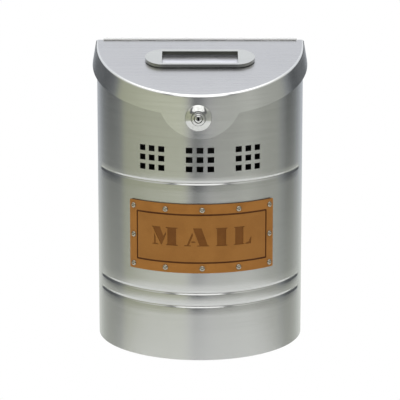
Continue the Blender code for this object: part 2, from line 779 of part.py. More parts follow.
def build_flap_brackets():
    """Two small angle brackets under the lid: a foot on the sheet and an ear that holds the pin."""
    foot_w = -(SHEET + GAP + SHEET / 2)
    back = FLAP_AXIS_V + BRACKET_BACK
    front = FLAP_AXIS_V - BRACKET_FRONT
    for side, sign in (("left", -1), ("right", 1)):
        path = [
            (sign * (BRACKET_X + BRACKET_FOOT), foot_w),
            (sign * BRACKET_X, foot_w),
            (sign * BRACKET_X, FLAP_AXIS_W - BRACKET_BELOW_PIN),
        ]

        def place(column, row):
            x, w = path[row]
            return Vector((x, back if column == 0 else front, w))

        bm = bent_sheet(1, len(path) - 1, place)
        bracket = add_part("flap_bracket_" + side, mesh_from(bm, "flap_bracket"), LID_PLANE, STEEL)
        thicken(bracket, SHEET, 0)
        bm = bmesh.new()
        middle = Matrix.Translation((sign * BRACKET_X, FLAP_AXIS_V, FLAP_AXIS_W))
        across = middle @ Matrix.Rotation(math.radians(90), 4, "Y")
        add_cylinder(bm, FLAP_PIN_RADIUS + GAP, -SHEET, SHEET, across, segments=10)
        cut(bracket, add_cutter("pin_hole_" + side, mesh_from(bm, "pin_hole"), LID_PLANE))


def build_flap_spring():
    """A torsion spring on the pin: one leg under the lid sheet, the other under the flap."""
    pitch = 2 * SPRING_WIRE_RADIUS + SPRING_TURN_GAP
    start_x = -SPRING_TURNS * pitch / 2
    rest_w = FLAP_PLATE_W - SHEET / 2 - GAP - SPRING_WIRE_RADIUS
    top = FLAP_AXIS_W + SPRING_RADIUS
    points = [(start_x, FLAP_AXIS_V + SPRING_LID_LEG, top)]
    steps = 10
    for step in range(SPRING_TURNS * steps + 1):
        angle = math.radians(90 + 360 * step / steps)
        x = start_x + pitch * step / steps
        v = FLAP_AXIS_V + SPRING_RADIUS * math.cos(angle)
        w = FLAP_AXIS_W + SPRING_RADIUS * math.sin(angle)
        points.append((x, v, w))
    points.append((-start_x, FLAP_AXIS_V - SPRING_GAP_FRONT, rest_w))
    points.append((-start_x, FLAP_AXIS_V - SPRING_FLAP_LEG, rest_w))
    mesh = wire("flap_spring", points, SPRING_WIRE_RADIUS, 0)
    add_part("flap_spring", mesh, LID_PLANE, DARK_STEEL)


# ---------------------------------------------------------------- lock

def build_lock():
    """A cam lock: conical escutcheon, barrel, keyed plug, nut, cam and the cam's screw."""
    escutcheon = [
        (ESCUTCHEON_BORE_RADIUS, 5.0 * mm), (9.0 * mm, 4.9 * mm), (15.4 * mm, 2.0 * mm),
        (ESCUTCHEON_RADIUS, 1.2 * mm), (ESCUTCHEON_RADIUS, GAP), (ESCUTCHEON_BORE_RADIUS, GAP),
    ]
    turned("lock_escutcheon", escutcheon, 28, LOCK_AXIS, CHROME, closed=True)
    barrel = [
        (PLUG_BORE_RADIUS, 7.6 * mm), (7.6 * mm, 8.2 * mm), (BARREL_LIP_RADIUS, 7.5 * mm),
        (BARREL_LIP_RADIUS, 5.4 * mm), (BARREL_HEAD_RADIUS, 5.3 * mm), (BARREL_HEAD_RADIUS, GAP),
        (BARREL_THREAD_RADIUS, GAP), (BARREL_THREAD_RADIUS, BARREL_BACK),
        (PLUG_BORE_RADIUS, BARREL_BACK),
    ]
    turned("lock_barrel", barrel, 24, LOCK_AXIS, CHROME, closed=True)
    build_lock_plug()
    thread = BARREL_THREAD_RADIUS + GAP
    hexagon = arc_points((0, 0), LOCK_NUT_RADIUS, 0, 300, 5)
    nut = flat_plate("lock_nut", [hexagon, arc_points((0, 0), thread, 0, 342, 19)], LOCK_NUT_HEIGHT)
    nut.transform(Matrix.Translation((0, 0, LOCK_NUT_SEAT - LOCK_NUT_HEIGHT / 2)))
    add_part("lock_nut", nut, LOCK_AXIS, DARK_STEEL)
    build_cam()


def build_lock_plug():
    profile = [
        (0, PLUG_FACE), (PLUG_RADIUS, PLUG_FACE), (PLUG_RADIUS, PLUG_BACK),
        (PLUG_STEP_RADIUS, PLUG_BACK), (PLUG_STEP_RADIUS, -12.4 * mm),
        (CAM_SCREW_RADIUS + GAP, -12.4 * mm), (CAM_SCREW_RADIUS + GAP, -6.0 * mm), (0, -6.0 * mm),
    ]
    plug = turned("lock_plug", profile, 20, LOCK_AXIS, DARK_STEEL)
    bm = bmesh.new()
    half = Vector((KEYWAY_WIDTH / 2, KEYWAY_HEIGHT / 2, 0))
    add_box(bm, -half, half + Vector((0, 0, PLUG_FACE + GAP)))
    cut(plug, add_cutter("keyway", mesh_from(bm, "keyway"), LOCK_AXIS))


def build_cam():
    """The cam points up when unlocked, and swings sideways behind the shell when locked."""
    half = CAM_WIDTH / 2
    outline = arc_points((0, 0), half, 180, 360, 8)
    outline += arc_points((0, CAM_REACH - half), half, 0, 180, 8)
    hole = arc_points((0, 0), PLUG_STEP_RADIUS + GAP, 0, 330, 11)
    cam = flat_plate("lock_cam", [outline, hole], CAM_THICKNESS)
    cam.transform(Matrix.Translation((0, 0, CAM_BACK + CAM_THICKNESS / 2)))
    add_part("lock_cam", cam, LOCK_AXIS, DARK_STEEL)
    screw = [
        (0, -6.6 * mm), (CAM_SCREW_RADIUS, -6.6 * mm), (CAM_SCREW_RADIUS, -12.7 * mm),
        (CAM_SCREW_HEAD_RADIUS, -12.7 * mm), (CAM_SCREW_HEAD_RADIUS, -14.2 * mm),
        (3.2 * mm, -15.0 * mm), (0, -15.0 * mm),
    ]
    turned("cam_screw", screw, 16, LOCK_AXIS, DARK_STEEL)


# ---------------------------------------------------------------- label

def build_label(rivet_holes):
    """A leather plate bent round the box."""
    def place(column, row):
        arc = LABEL_CENTRE_ARC + LABEL_HALF_ARC * (2 * column / LABEL_STEPS - 1)
        height = LABEL_TOP if row == 1 else LABEL_BOTTOM
        return on_shell(arc, height, LABEL_LIFT).translation

    bm = bent_sheet(LABEL_STEPS, 1, place)
    label = add_part("label_plate", mesh_from(bm, "label_plate"), BOX, TAN_LEATHER, 0.6, 0.0)
    thicken(label, LABEL_THICKNESS, 1)
    cut(label, rivet_holes)


def build_rivets():
    """Blind rivets: a domed head with a dimple, a shank, and the swelling behind the shell."""
    inside = -(RIVET_SEAT + LABEL_THICKNESS + LABEL_LIFT + SHEET + GAP)
    profile = [
        (0, 0.8 * mm), (1.2 * mm, 0.8 * mm), (1.5 * mm, 1.5 * mm),
        (RIVET_HEAD_RADIUS, 0.35 * mm), (RIVET_HEAD_RADIUS, 0),
        (RIVET_SHANK_RADIUS, 0), (RIVET_SHANK_RADIUS, inside),
        (2.3 * mm, inside - 0.5 * mm), (RIVET_SHANK_RADIUS, inside - 2.2 * mm), (0, inside - 2.2 * mm),
    ]
    lift = LABEL_LIFT + LABEL_THICKNESS + RIVET_SEAT
    for number, (arc, height) in enumerate(rivet_places(), start=1):
        rivet = turned(f"label_rivet_{number:02d}", profile, 10, BOX, NICKEL)
        rivet.matrix_local = on_shell(arc, height, lift)


def build_mailbox():
    rivet_holes = rivet_cutter()
    build_body_shell(rivet_holes)
    build_back_panel()
    build_bottom_panel()
    build_lid_shell()
    build_hinge()
    build_bezel()
    build_flap()
    build_flap_pin()
    build_flap_brackets()
    build_flap_spring()
    build_lock()
    build_label(rivet_holes)
    build_rivets()


build_mailbox()
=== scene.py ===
"""Looks for the wall mailbox: brushed steel box and lid, leather label, rivets, lock and slot."""
import json
import math

import bmesh
import bpy
from mathutils import Matrix, Vector


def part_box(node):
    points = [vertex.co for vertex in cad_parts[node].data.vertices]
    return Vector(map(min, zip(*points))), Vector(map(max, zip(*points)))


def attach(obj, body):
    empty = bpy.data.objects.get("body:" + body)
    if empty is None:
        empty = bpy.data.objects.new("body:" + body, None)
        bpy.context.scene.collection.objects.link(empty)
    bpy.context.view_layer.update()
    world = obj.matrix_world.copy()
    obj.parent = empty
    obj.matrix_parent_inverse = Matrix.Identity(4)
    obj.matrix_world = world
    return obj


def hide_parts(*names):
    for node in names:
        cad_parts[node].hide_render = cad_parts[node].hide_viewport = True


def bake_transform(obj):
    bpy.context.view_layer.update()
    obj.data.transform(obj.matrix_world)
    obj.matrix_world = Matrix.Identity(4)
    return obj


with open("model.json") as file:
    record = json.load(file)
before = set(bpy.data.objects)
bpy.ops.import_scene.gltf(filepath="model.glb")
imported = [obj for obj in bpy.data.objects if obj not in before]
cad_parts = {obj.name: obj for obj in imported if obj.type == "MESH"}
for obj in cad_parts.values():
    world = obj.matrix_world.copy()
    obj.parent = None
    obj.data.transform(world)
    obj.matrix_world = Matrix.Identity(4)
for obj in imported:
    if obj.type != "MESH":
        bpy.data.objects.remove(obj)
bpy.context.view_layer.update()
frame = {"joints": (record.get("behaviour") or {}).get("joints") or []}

mm = 0.001

# ------------------------ sizes, read from the frame

SHELL_LOW, SHELL_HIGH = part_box("body_shell")
LID_LOW, LID_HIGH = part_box("lid_shell")
LABEL_LOW, LABEL_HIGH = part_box("label_plate")
JOINTS = {joint["name"]: joint for joint in frame["joints"]}
UNDERSIDE = SHELL_LOW.z
HALF_WIDTH = SHELL_HIGH.x
FRONT_Y = SHELL_LOW.y
SHELL_BACK_Y = SHELL_HIGH.y
SHEET = 0.8 * mm
PIECE_GAP = 0.3 * mm
SHELL_CORNER = 2 * mm
SHELL_FLANGE = 18 * mm

LID_FALL = 43.1 / 153
LID_TILT = math.atan(LID_FALL)
LID_BACK_Y = LID_HIGH.y
LID_FRONT_Y = LID_LOW.y
LID_HEIGHT_AT_WALL = LID_HIGH.z - LID_FALL * LID_BACK_Y
LID_FLARE = 4 * mm
LID_HALF_WIDTH = LID_HIGH.x - LID_FLARE
LID_BEND = 3 * mm
SKIRT_DROP = 25.3 * mm
TONGUE_RADIUS = 51 * mm
TONGUE_HALF_WIDTH = 47.2 * mm
TONGUE_CENTRE = LID_LOW.z + TONGUE_RADIUS
LID_REST_GAP = 1.2 * mm
STRAIGHT_SIDE = 8.5 * mm

LOCK_CENTRE = Vector(JOINTS["lock_turn"]["pos_m"])
HINGE_AXIS = Vector(JOINTS["lid_hinge"]["pos_m"])

GROOVE_HEIGHTS = (68.6 * mm, 84.9 * mm, 222.7 * mm)
GROOVE_HALF_WIDTH = 3.0 * mm
GROOVE_DEPTH = 1.15 * mm
GROOVE_END = 54.5 * mm
GROOVE_FADE = 9 * mm

VENT_WIDTH = 8.2 * mm
VENT_HEIGHT = 7.2 * mm
VENT_PITCH = 13.2 * mm
VENT_ROW_PITCH = 11.6 * mm
VENT_GROUP_ARC = 61.6 * mm
VENT_CENTRE_HEIGHT = 251.7 * mm

LABEL_CENTRE_ARC = 2.6 * mm
LABEL_HALF_ARC = 96.2 * mm
LABEL_BOTTOM = LABEL_LOW.z - UNDERSIDE
LABEL_TOP = LABEL_HIGH.z - UNDERSIDE
LABEL_THICKNESS = 2.2 * mm
LABEL_LIFT = 0.45 * mm
TOOLED_HALF_ARC = 84.1 * mm
TOOLED_MARGIN = 12 * mm
TOOLED_WIDTH = 2.1 * mm
PRESS_DEPTH = 0.55 * mm
LETTER_HEIGHT = 22.5 * mm
LETTER_BASE = 145 * mm
RIVET_ARC = 89.8 * mm
RIVET_HEAD_RADIUS = 3.45 * mm
RIVET_SHANK_RADIUS = 1.6 * mm

BEZEL_HALF_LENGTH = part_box("slot_bezel")[1].x
BEZEL_DEPTH = 45.4 * mm
BEZEL_HEIGHT = 4.7 * mm
BEZEL_FOOT = 0.6 * mm
BEZEL_CENTRE = -66.2 * mm
SLOT_HALF_LENGTH = 47 * mm
SLOT_DEPTH = 34 * mm
SLOT_CENTRE = -67 * mm
STUD_X = 57.5 * mm
FLAP_PLATE_W = -1.6 * mm
FLAP_CURL = 1.5 * mm
FLAP_LIP = 3.5 * mm
FLAP_FRONT = -88.8 * mm
FLAP_HALF_LENGTH = 52 * mm

HINGE_LENGTH = 244 * mm
HINGE_KNUCKLES = 11
HINGE_KNUCKLE_GAP = 0.5 * mm
HINGE_CURL = 1.75 * mm
HINGE_LEAF_WIDTH = 21 * mm
BACK_SHEET = 1.0 * mm
BACK_PANEL_TOP = 373.4 * mm
SCREW_X = 70 * mm
SCREW_HOLE_HEIGHT = 45 * mm
SCREW_HOLE_RADIUS = 2.5 * mm
KEYHOLE_HEIGHT = 320 * mm
TRAY_GAP = 1.5 * mm
TRAY_BEND = 2 * mm
TRAY_WALL = 12 * mm


# ------------------------ node trees written as expressions

class Socket:
    """An output in a node tree. Arithmetic on it adds Math nodes to the same tree."""

    def __init__(self, tree, output):
        self.tree = tree
        self.output = output

    def math(self, operation, *others):
        return self.tree.node("ShaderNodeMath", {"operation": operation}, [self, *others])

    def __add__(self, other):
        return self.math("ADD", other)

    def __mul__(self, other):
        return self.math("MULTIPLY", other)

    def __rsub__(self, other):
        return self.tree.node("ShaderNodeMath", {"operation": "SUBTRACT"}, [other, self])

    def __truediv__(self, other):
        return self.math("DIVIDE", other)

    def between(self, low, high):
        """0 at low, 1 at high, with a smooth rise."""
        settings = {"interpolation_type": "SMOOTHSTEP"}
        return self.tree.node("ShaderNodeMapRange", settings, [self, low, high, 0.0, 1.0])


class Tree:
    """Adds nodes to a material's or the world's node tree."""

    def __init__(self, node_tree):
        self.node_tree = node_tree

    def plug(self, socket, value):
        if isinstance(value, Socket):
            self.node_tree.links.new(value.output, socket)
        elif isinstance(value, tuple) and len(value) == 3 and socket.type == "RGBA":
            socket.default_value = (*value, 1)
        else:
            socket.default_value = value

    def node(self, kind, settings=None, inputs=(), output=0):
        """Any node: its settings first, then its sockets, by place in a list or by name in a dict."""
        made = self.node_tree.nodes.new(kind)
        for name, value in (settings or {}).items():
            if name == "stops":
                self.set_stops(made.color_ramp, value)
            else:
                setattr(made, name, value)
        self.fill(made, inputs if isinstance(inputs, dict) else dict(enumerate(inputs)))
        return Socket(self, made.outputs[output])

    def fill(self, node, inputs):
        for key, value in inputs.items():
            self.plug(node.inputs[key], value)

    def set_stops(self, ramp, stops):
        """Stops of a colour ramp: (place, grey) or (place, colour)."""
        while len(ramp.elements) < len(stops):
            ramp.elements.new(1.0)
        for element, (place, colour) in zip(ramp.elements, stops):
            if not isinstance(colour, tuple):
                colour = (colour,) * 3
            element.position = place
            element.color = (*colour, 1)

    def mix(self, factor, first, second):
        """Blends two colours."""
        settings = {"data_type": "RGBA"}
        inputs = {0: factor, 6: first, 7: second}
        return self.node("ShaderNodeMix", settings, inputs, output=2)

    def coordinates(self, scale):
        """The piece's own coordinates in metres, scaled along each axis."""
        place = self.node("ShaderNodeTexCoord", output=3)
        return self.node("ShaderNodeVectorMath", {"operation": "MULTIPLY"}, [place, scale])

    def noise(self, scale, detail, roughness):
        inputs = {
            "Vector": self.coordinates(scale), "Scale": 1.0,
            "Detail": detail, "Roughness": roughness,
        }
        return self.node("ShaderNodeTexNoise", None, inputs)

    def bump(self, height, strength, distance):
        inputs = {"Strength": strength, "Distance": distance, "Height": height}
        return self.node("ShaderNodeBump", None, inputs)


def finish_named(name):
    """A new material, its tree and its main shader."""
    material = bpy.data.materials.new(name)
    material.use_nodes = True
    shader = material.node_tree.nodes["Principled BSDF"]
    return material, Tree(material.node_tree), shader


# ------------------------ finishes

AROUND = (9, 9, 900)
ALONG_X = (9, 900, 900)


def brushed_steel(name, light, dark, grain, roughness=0.22, anisotropic=0.6):
    """Sheet brushed along one direction: fine streaks in colour, gloss and relief."""
    material, tree, shader = finish_named(name)
    fine = tree.noise(grain, 3.0, 0.6)
    broad = tree.noise(tuple(value / 2.5 for value in grain), 2.0, 0.5)
    cloud = tree.noise((14, 14, 14), 3.0, 0.5)
    streak = fine * 0.5 + broad * 0.2 + cloud * 0.3
    tree.fill(shader, {
        "Base Color": tree.mix(streak.between(0.35, 0.65), dark, light),
        "Roughness": streak * 0.12 + (roughness - 0.06),
        "Normal": tree.bump(fine, 0.08, 0.03 * mm),
        "Metallic": 1.0,
        "Anisotropic": anisotropic,
        "Anisotropic Rotation": 0.25,
    })
    return material


def plated(name, colour, roughness=0.35):
    """Small plated hardware: slightly uneven in tone, a little dulled."""
    material, tree, shader = finish_named(name)
    mottle = tree.noise((300, 300, 300), 3.0, 0.6)
    dark = tuple(value * 0.75 for value in colour)
    tree.fill(shader, {
        "Base Color": tree.mix(mottle.between(0.3, 0.7), dark, colour),
        "Roughness": mottle * 0.2 + (roughness - 0.1),
        "Metallic": 1.0,
    })
    return material


def polished(name, colour, roughness):
    """Chromed or nickelled pieces: faint polishing marks and worn patches."""
    material, tree, shader = finish_named(name)
    wear = tree.noise((420, 420, 420), 4.0, 0.65)
    dull = tuple(value * 0.8 for value in colour)
    tree.fill(shader, {
        "Base Color": tree.mix(wear.between(0.4, 0.75), colour, dull),
        "Roughness": wear * 0.12 + (roughness - 0.06),
        "Metallic": 1.0,
    })
    return material


def leather(name, colour, deep, roughness=0.62):
    """Vegetable-tanned leather: pebbled grain, pores, and uneven dye."""
    material, tree, shader = finish_named(name)
    cells = tree.node(
        "ShaderNodeTexVoronoi", {"feature": "SMOOTH_F1"},
        {"Vector": tree.coordinates((1000, 1000, 1000)), "Scale": 1.0, "Smoothness": 0.6},
    )
    pores = tree.noise((2600, 2600, 2600), 2.0, 0.6)
    dye = tree.noise((45, 45, 45), 4.0, 0.55)
    grain = cells * 0.7 + pores * 0.5
    tone = dye.between(0.3, 0.7) * 0.65 + grain.between(0.2, 0.9) * 0.35
    tree.fill(shader, {
        "Base Color": tree.mix(tone, deep, colour),
        "Roughness": grain * 0.15 + (roughness - 0.08),
        "Normal": tree.bump(grain, 0.6, 0.2 * mm),
        "Specular IOR Level": 0.12,
    })
    return material


STEEL_WALL = brushed_steel("steel_brushed_round", (0.44, 0.445, 0.435), (0.41, 0.415, 0.405), AROUND)
# A lighter copy of the wall's steel: painted sheen, standing in for the brighter reflection the lid's
# skirt catches.
STEEL_SKIRT_SHEEN = brushed_steel("steel_skirt_painted_sheen", (0.54, 0.545, 0.54), (0.51, 0.515, 0.51), AROUND)
STEEL_LID = brushed_steel(
    "steel_brushed_lid", (0.39, 0.39, 0.397), (0.365, 0.365, 0.372), ALONG_X, 0.28, 0.0,
)
STEEL_INSIDE = brushed_steel("steel_sheet", (0.47, 0.47, 0.47), (0.44, 0.44, 0.44), ALONG_X, 0.3, 0.0)
STEEL_BEZEL = brushed_steel("steel_bezel", (0.46, 0.465, 0.45), (0.43, 0.435, 0.42), ALONG_X, 0.25, 0.0)
# Much lighter than the lid's steel: painted light, making up for the shade the flap lies in under the
# slot.
STEEL_FLAP_LIT = brushed_steel("steel_flap_painted_light", (0.64, 0.64, 0.67), (0.60, 0.60, 0.63), ALONG_X, 0.32, 0.0)
STEEL_HINGE = brushed_steel("steel_hinge", (0.80, 0.80, 0.81), (0.74, 0.74, 0.75), ALONG_X, 0.9, 0.0)
# Near-black steel: painted shade, for the walls inside the slot and for the bezel's foot.
STEEL_PAINTED_SHADE = brushed_steel("steel_painted_shade", (0.13, 0.135, 0.115), (0.10, 0.105, 0.09), ALONG_X, 0.4, 0.0)
HARDWARE = plated("zinc_plated", (0.46, 0.47, 0.47))
SPRING_WIRE = plated("spring_wire", (0.30, 0.30, 0.31), 0.3)
CHROME = polished("lock_chrome", (0.47, 0.475, 0.46), 0.13)
# Near-black: painted shade inside the keyway.
KEYWAY_PAINTED_SHADE = plated("keyway_painted_shade", (0.04, 0.04, 0.045), 0.6)
NICKEL = polished("rivet_nickel", (0.30, 0.27, 0.22), 0.26)
LEATHER = leather("leather_field", (0.275, 0.122, 0.029), (0.235, 0.100, 0.023))
LEATHER_EDGE = leather("leather_border", (0.30, 0.128, 0.028), (0.25, 0.103, 0.021), 0.55)
# The tooled line's darker pressed leather, also used as a painted shadow on the plate's side edges.
LEATHER_PRESSED_AND_EDGE_SHADE = leather("leather_pressed_and_edge_shade", (0.09, 0.03, 0.006), (0.065, 0.02, 0.004), 0.5)
LEATHER_LETTER = leather("leather_letters", (0.165, 0.062, 0.011), (0.12, 0.043, 0.008), 0.5)


# ------------------------ mesh tools

SHARP_ANGLE = math.radians(35)


def link_new(name, data):
    """A new object in the scene."""
    made = bpy.data.objects.new(name, data)
    bpy.context.scene.collection.objects.link(made)
    return made


def link_mesh(name, bm, materials=()):
    """A new mesh object in the scene, with its finishes."""
    mesh = bpy.data.meshes.new(name)
    bm.to_mesh(mesh)
    bm.free()
    for material in materials:
        mesh.materials.append(material)
    return link_new(name, mesh)


def shade(mesh):
    """Smooth all over but for the sharp edges."""
    mesh.shade_smooth()
    mesh.set_sharp_from_angle(angle=SHARP_ANGLE)


def evaluated_mesh(source):
    """The shape that an object's modifiers or curve settings give."""
    bpy.context.view_layer.update()
    evaluated = source.evaluated_get(bpy.context.evaluated_depsgraph_get())
    return bpy.data.meshes.new_from_object(evaluated)


def add_piece(name, bm, body, materials, replaced=()):
    """A piece on its body, with its finishes and the CAD nodes it stands for."""
    piece = link_mesh(name, bm, materials)
    shade(piece.data)
    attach(piece, body)
    if replaced:
        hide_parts(*replaced)
    return piece


def bake_modifiers(piece):
    """Keeps the shape that the modifiers give, and drops them."""
    mesh = evaluated_mesh(piece)
    piece.modifiers.clear()
    piece.data = mesh
    shade(mesh)


def thicken(piece, side):
    """Gives a surface the sheet's thickness: side 0 puts it in the middle, -1 on the outside."""
    modifier = piece.modifiers.new("sheet", "SOLIDIFY")
    modifier.thickness = SHEET
    modifier.offset = side
    modifier.use_even_offset = True
    bake_modifiers(piece)


def soften(piece, width, segments):
    """Rounds the edges, and keeps the flat faces beside the rounded strips flat."""
    modifier = piece.modifiers.new("edges", "BEVEL")
    modifier.width = width
    modifier.segments = segments
    modifier.limit_method = "ANGLE"
    modifier.angle_limit = math.radians(30)
    modifier.use_clamp_overlap = True
    bake_modifiers(piece)
    bm = bmesh.new()
    bm.from_mesh(piece.data)
    flat_to_strip = 12
    for edge in bm.edges:
        areas = sorted(face.calc_area() for face in edge.link_faces)
        if len(areas) == 2 and areas[1] > flat_to_strip * areas[0]:
            edge.smooth = False
    bm.to_mesh(piece.data)
    bm.free()


def cut_away(piece, tool_bm, finish=0):
    """Cuts a tool shape out of a piece, gives the cut that finish, then bakes the result."""
    for face in tool_bm.faces:
        face.material_index = finish
    tool = link_mesh("tool", tool_bm)
    modifier = piece.modifiers.new("cut", "BOOLEAN")
    modifier.object = tool
    modifier.operation = "DIFFERENCE"
    bake_modifiers(piece)
    bpy.data.objects.remove(tool)


def bent_sheet(columns, rows, place):
    """A grid whose points are put in place by column and row number."""
    bm = bmesh.new()
    bmesh.ops.create_grid(bm, x_segments=columns, y_segments=rows, size=1)
    for vert in bm.verts:
        column = round((vert.co.x + 1) / 2 * columns)
        row = round((vert.co.y + 1) / 2 * rows)
        vert.co = place(column, row)
    return bm


def rolled_sheet(path, half, place):
    """A strip from x = -half to half whose cross-section follows a path of (y, z) points."""
    def put(column, row):
        return place @ Vector((half * (2 * column - 1), *path[row]))

    return bent_sheet(1, len(path) - 1, put)


def add_box(bm, low, high, matrix=Matrix()):
    """Adds a box between two corners."""
    size = Vector(high) - Vector(low)
    middle = (Vector(high) + Vector(low)) / 2
    place = matrix @ Matrix.Translation(middle) @ Matrix.Diagonal((*size, 1))
    bmesh.ops.create_cube(bm, size=1, matrix=place)


def add_cylinder(bm, radius, low, high, matrix, segments=32):
    """Adds a cylinder along the matrix's z."""
    place = matrix @ Matrix.Translation((0, 0, (low + high) / 2))
    bmesh.ops.create_cone(
        bm, cap_ends=True, segments=segments, radius1=radius, radius2=radius,
        depth=high - low, matrix=place,
    )


def arc_points(centre, radius, start, end, steps):
    """Points round an arc; the angles are in degrees."""
    points = []
    for step in range(steps + 1):
        angle = math.radians(start + (end - start) * step / steps)
        points.append((centre[0] + radius * math.cos(angle), centre[1] + radius * math.sin(angle)))
    return points


def mesh_of_curve(curve):
    """The curve's surface as a bmesh, with its seams joined."""
    guide = link_new("guide", curve)
    mesh = evaluated_mesh(guide)
    bpy.data.objects.remove(guide)
    bm = bmesh.new()
    bm.from_mesh(mesh)
    bpy.data.meshes.remove(mesh)
    bmesh.ops.remove_doubles(bm, verts=bm.verts, dist=0.001 * mm)
    bmesh.ops.recalc_face_normals(bm, faces=bm.faces)
    return bm


def flat_plate(outlines, low, high, place=Matrix()):
    """Closed XY outlines filled from z = low to high; an outline inside another is a hole."""
    curve = bpy.data.curves.new("outline", "CURVE")
    curve.dimensions = "2D"
    curve.fill_mode = "BOTH"
    curve.extrude = (high - low) / 2
    for outline in outlines:
        spline = curve.splines.new("POLY")
        spline.points.add(len(outline) - 1)
        for point, (x, y) in zip(spline.points, outline):
            point.co = (x, y, 0, 1)
        spline.use_cyclic_u = True
    bm = mesh_of_curve(curve)
    bm.transform(place @ Matrix.Translation((0, 0, (low + high) / 2)))
    return bm


def rectangle(half_width, low, high):
    """Its outline, centred across."""
    return [(-half_width, low), (half_width, low), (half_width, high), (-half_width, high)]


def turned(profile, steps, place, closed=False):
    """A profile of (radius, z) points turned about z, as a bmesh in its place."""
    bm = bmesh.new()
    rings = []
    for radius, z in profile:
        if radius == 0:
            rings.append([bm.verts.new((0, 0, z))] * steps)
            continue
        circle = arc_points((0, 0), radius, 0, 360, steps)[:-1]
        rings.append([bm.verts.new((x, y, z)) for x, y in circle])
    pairs = list(zip(rings, rings[1:]))
    if closed:
        pairs.append((rings[-1], rings[0]))
    for upper, lower in pairs:
        for step in range(steps):
            corners = (upper[step - 1], upper[step], lower[step], lower[step - 1])
            bm.faces.new(list(dict.fromkeys(corners)))
    bmesh.ops.recalc_face_normals(bm, faces=bm.faces)
    bm.transform(place)
    return bm


def marks_between(marks, step):
    """The marks with even steps put in between, none longer than step."""
    filled = [marks[0]]
    for low, high in zip(marks, marks[1:]):
        count = max(1, math.ceil((high - low) / step - 1e-6))
        filled += [low + (high - low) * number / count for number in range(1, count + 1)]
    return filled


# ------------------------ the box's plan

BACK_CORNER = math.radians(100)


def plan_point(angle, half_width, front_y, back_y):
    """A point of the D: angle 0 is the front, +-90 degrees the curve's ends, and past them the back."""
    if abs(angle) > math.radians(91):
        return Vector((math.copysign(half_width, angle), back_y))
    centre_y = back_y - STRAIGHT_SIDE
    return Vector((half_width * math.sin(angle), centre_y + (front_y - centre_y) * math.cos(angle)))


def shell_point(angle):
    return plan_point(angle, HALF_WIDTH, FRONT_Y, SHELL_BACK_Y - SHELL_CORNER)


def walk_arcs():
    """Arc length from the front against plan angle, in small steps up to the corner."""
    table = [(0.0, 0.0)]
    step = math.radians(0.1)
    for number in range(1, 901):
        run = (shell_point(number * step) - shell_point((number - 1) * step)).length
        table.append((table[-1][0] + run, number * step))
    return table


ARC_TABLE = walk_arcs()
SHELL_ARC = ARC_TABLE[-1][0]


def angle_at_arc(arc):
    """The plan angle at an arc length from the front."""
    low, high = 0, len(ARC_TABLE) - 1
    while high - low > 1:
        middle = (low + high) // 2
        if ARC_TABLE[middle][0] <= abs(arc):
            low = middle
        else:
            high = middle
    (arc_low, angle_low), (arc_high, angle_high) = ARC_TABLE[low], ARC_TABLE[high]
    share = (abs(arc) - arc_low) / (arc_high - arc_low)
    return math.copysign(angle_low + (angle_high - angle_low) * share, arc)


def on_shell(arc, height, lift=0.0):
    """A place on the box's front: z points out, x to the right and y up."""
    angle = angle_at_arc(arc)
    point = shell_point(angle)
    tangent = (shell_point(angle + 0.001) - shell_point(angle - 0.001)).normalized()
    right = Vector((tangent.x, tangent.y, 0))
    out = Vector((tangent.y, -tangent.x, 0))
    place = Matrix((right, Vector((0, 0, 1)), out)).transposed().to_4x4()
    place.translation = Vector((point.x, point.y, UNDERSIDE + height)) + out * lift
    return place


def lid_height(y):
    return LID_HEIGHT_AT_WALL + LID_FALL * y


def rim_height(y):
    return lid_height(y) - SHEET / math.cos(LID_TILT) - LID_REST_GAP


LID_PLANE = Matrix.Translation((0, 0, LID_HEIGHT_AT_WALL)) @ Matrix.Rotation(LID_TILT, 4, "X")
FLAP_AXIS_ON_LID = LID_PLANE.inverted() @ Vector(JOINTS["slot_flap"]["pos_m"])
UPRIGHT = Matrix.Rotation(math.radians(90), 4, "X")
ACROSS = Matrix.Rotation(math.radians(90), 4, "Y")
LOCK_PLACE = Matrix.Translation(LOCK_CENTRE) @ UPRIGHT


# ------------------------ body shell

RIM_START = 300 * mm
RIM_ROWS = 5


def vent_spans():
    """Low and high arc of each vent column, and low and high height of each vent row."""
    columns, rows = [], []
    for group in (-1, 0, 1):
        for column in (-1, 0, 1):
            middle = group * VENT_GROUP_ARC + column * VENT_PITCH
            columns.append((middle - VENT_WIDTH / 2, middle + VENT_WIDTH / 2))
    for row in (-1, 0, 1):
        middle = VENT_CENTRE_HEIGHT + row * VENT_ROW_PITCH
        rows.append((middle - VENT_HEIGHT / 2, middle + VENT_HEIGHT / 2))
    return columns, rows


def groove_depth(height, y):
    """How far the sheet is pressed in: a smooth trough that runs out near the back."""
    along = min(max((-y - GROOVE_END) / GROOVE_FADE, 0), 1)
    end = along * along * (3 - 2 * along)
    depth = 0.0
    for middle in GROOVE_HEIGHTS:
        across = abs(height - middle) / GROOVE_HALF_WIDTH
        if across < 1:
            depth += GROOVE_DEPTH * math.cos(across * math.pi / 2) ** 2
    return depth * end


def shell_outline(vent_columns):
    """Plan points with outward directions, from the left flange round to the right one."""
    marks = sorted([-SHELL_ARC, *[edge for span in vent_columns for edge in span], SHELL_ARC])
    front = [on_shell(arc, 0) for arc in marks_between(marks, 3 * mm)]
    points = [(place.translation.x, place.translation.y, place.col[2].to_3d()) for place in front]
    corner = (HALF_WIDTH - SHELL_CORNER, SHELL_BACK_Y - SHELL_CORNER)
    right = []
    for x, y in arc_points(corner, SHELL_CORNER, 0, 90, 6):
        right.append((x, y, Vector((x - corner[0], y - corner[1], 0)).normalized()))
    right.append((HALF_WIDTH - SHELL_FLANGE, SHELL_BACK_Y, Vector((0, 1, 0))))
    left = [(-x, y, Vector((-out.x, out.y, 0))) for x, y, out in reversed(right)]
    return left + points + right


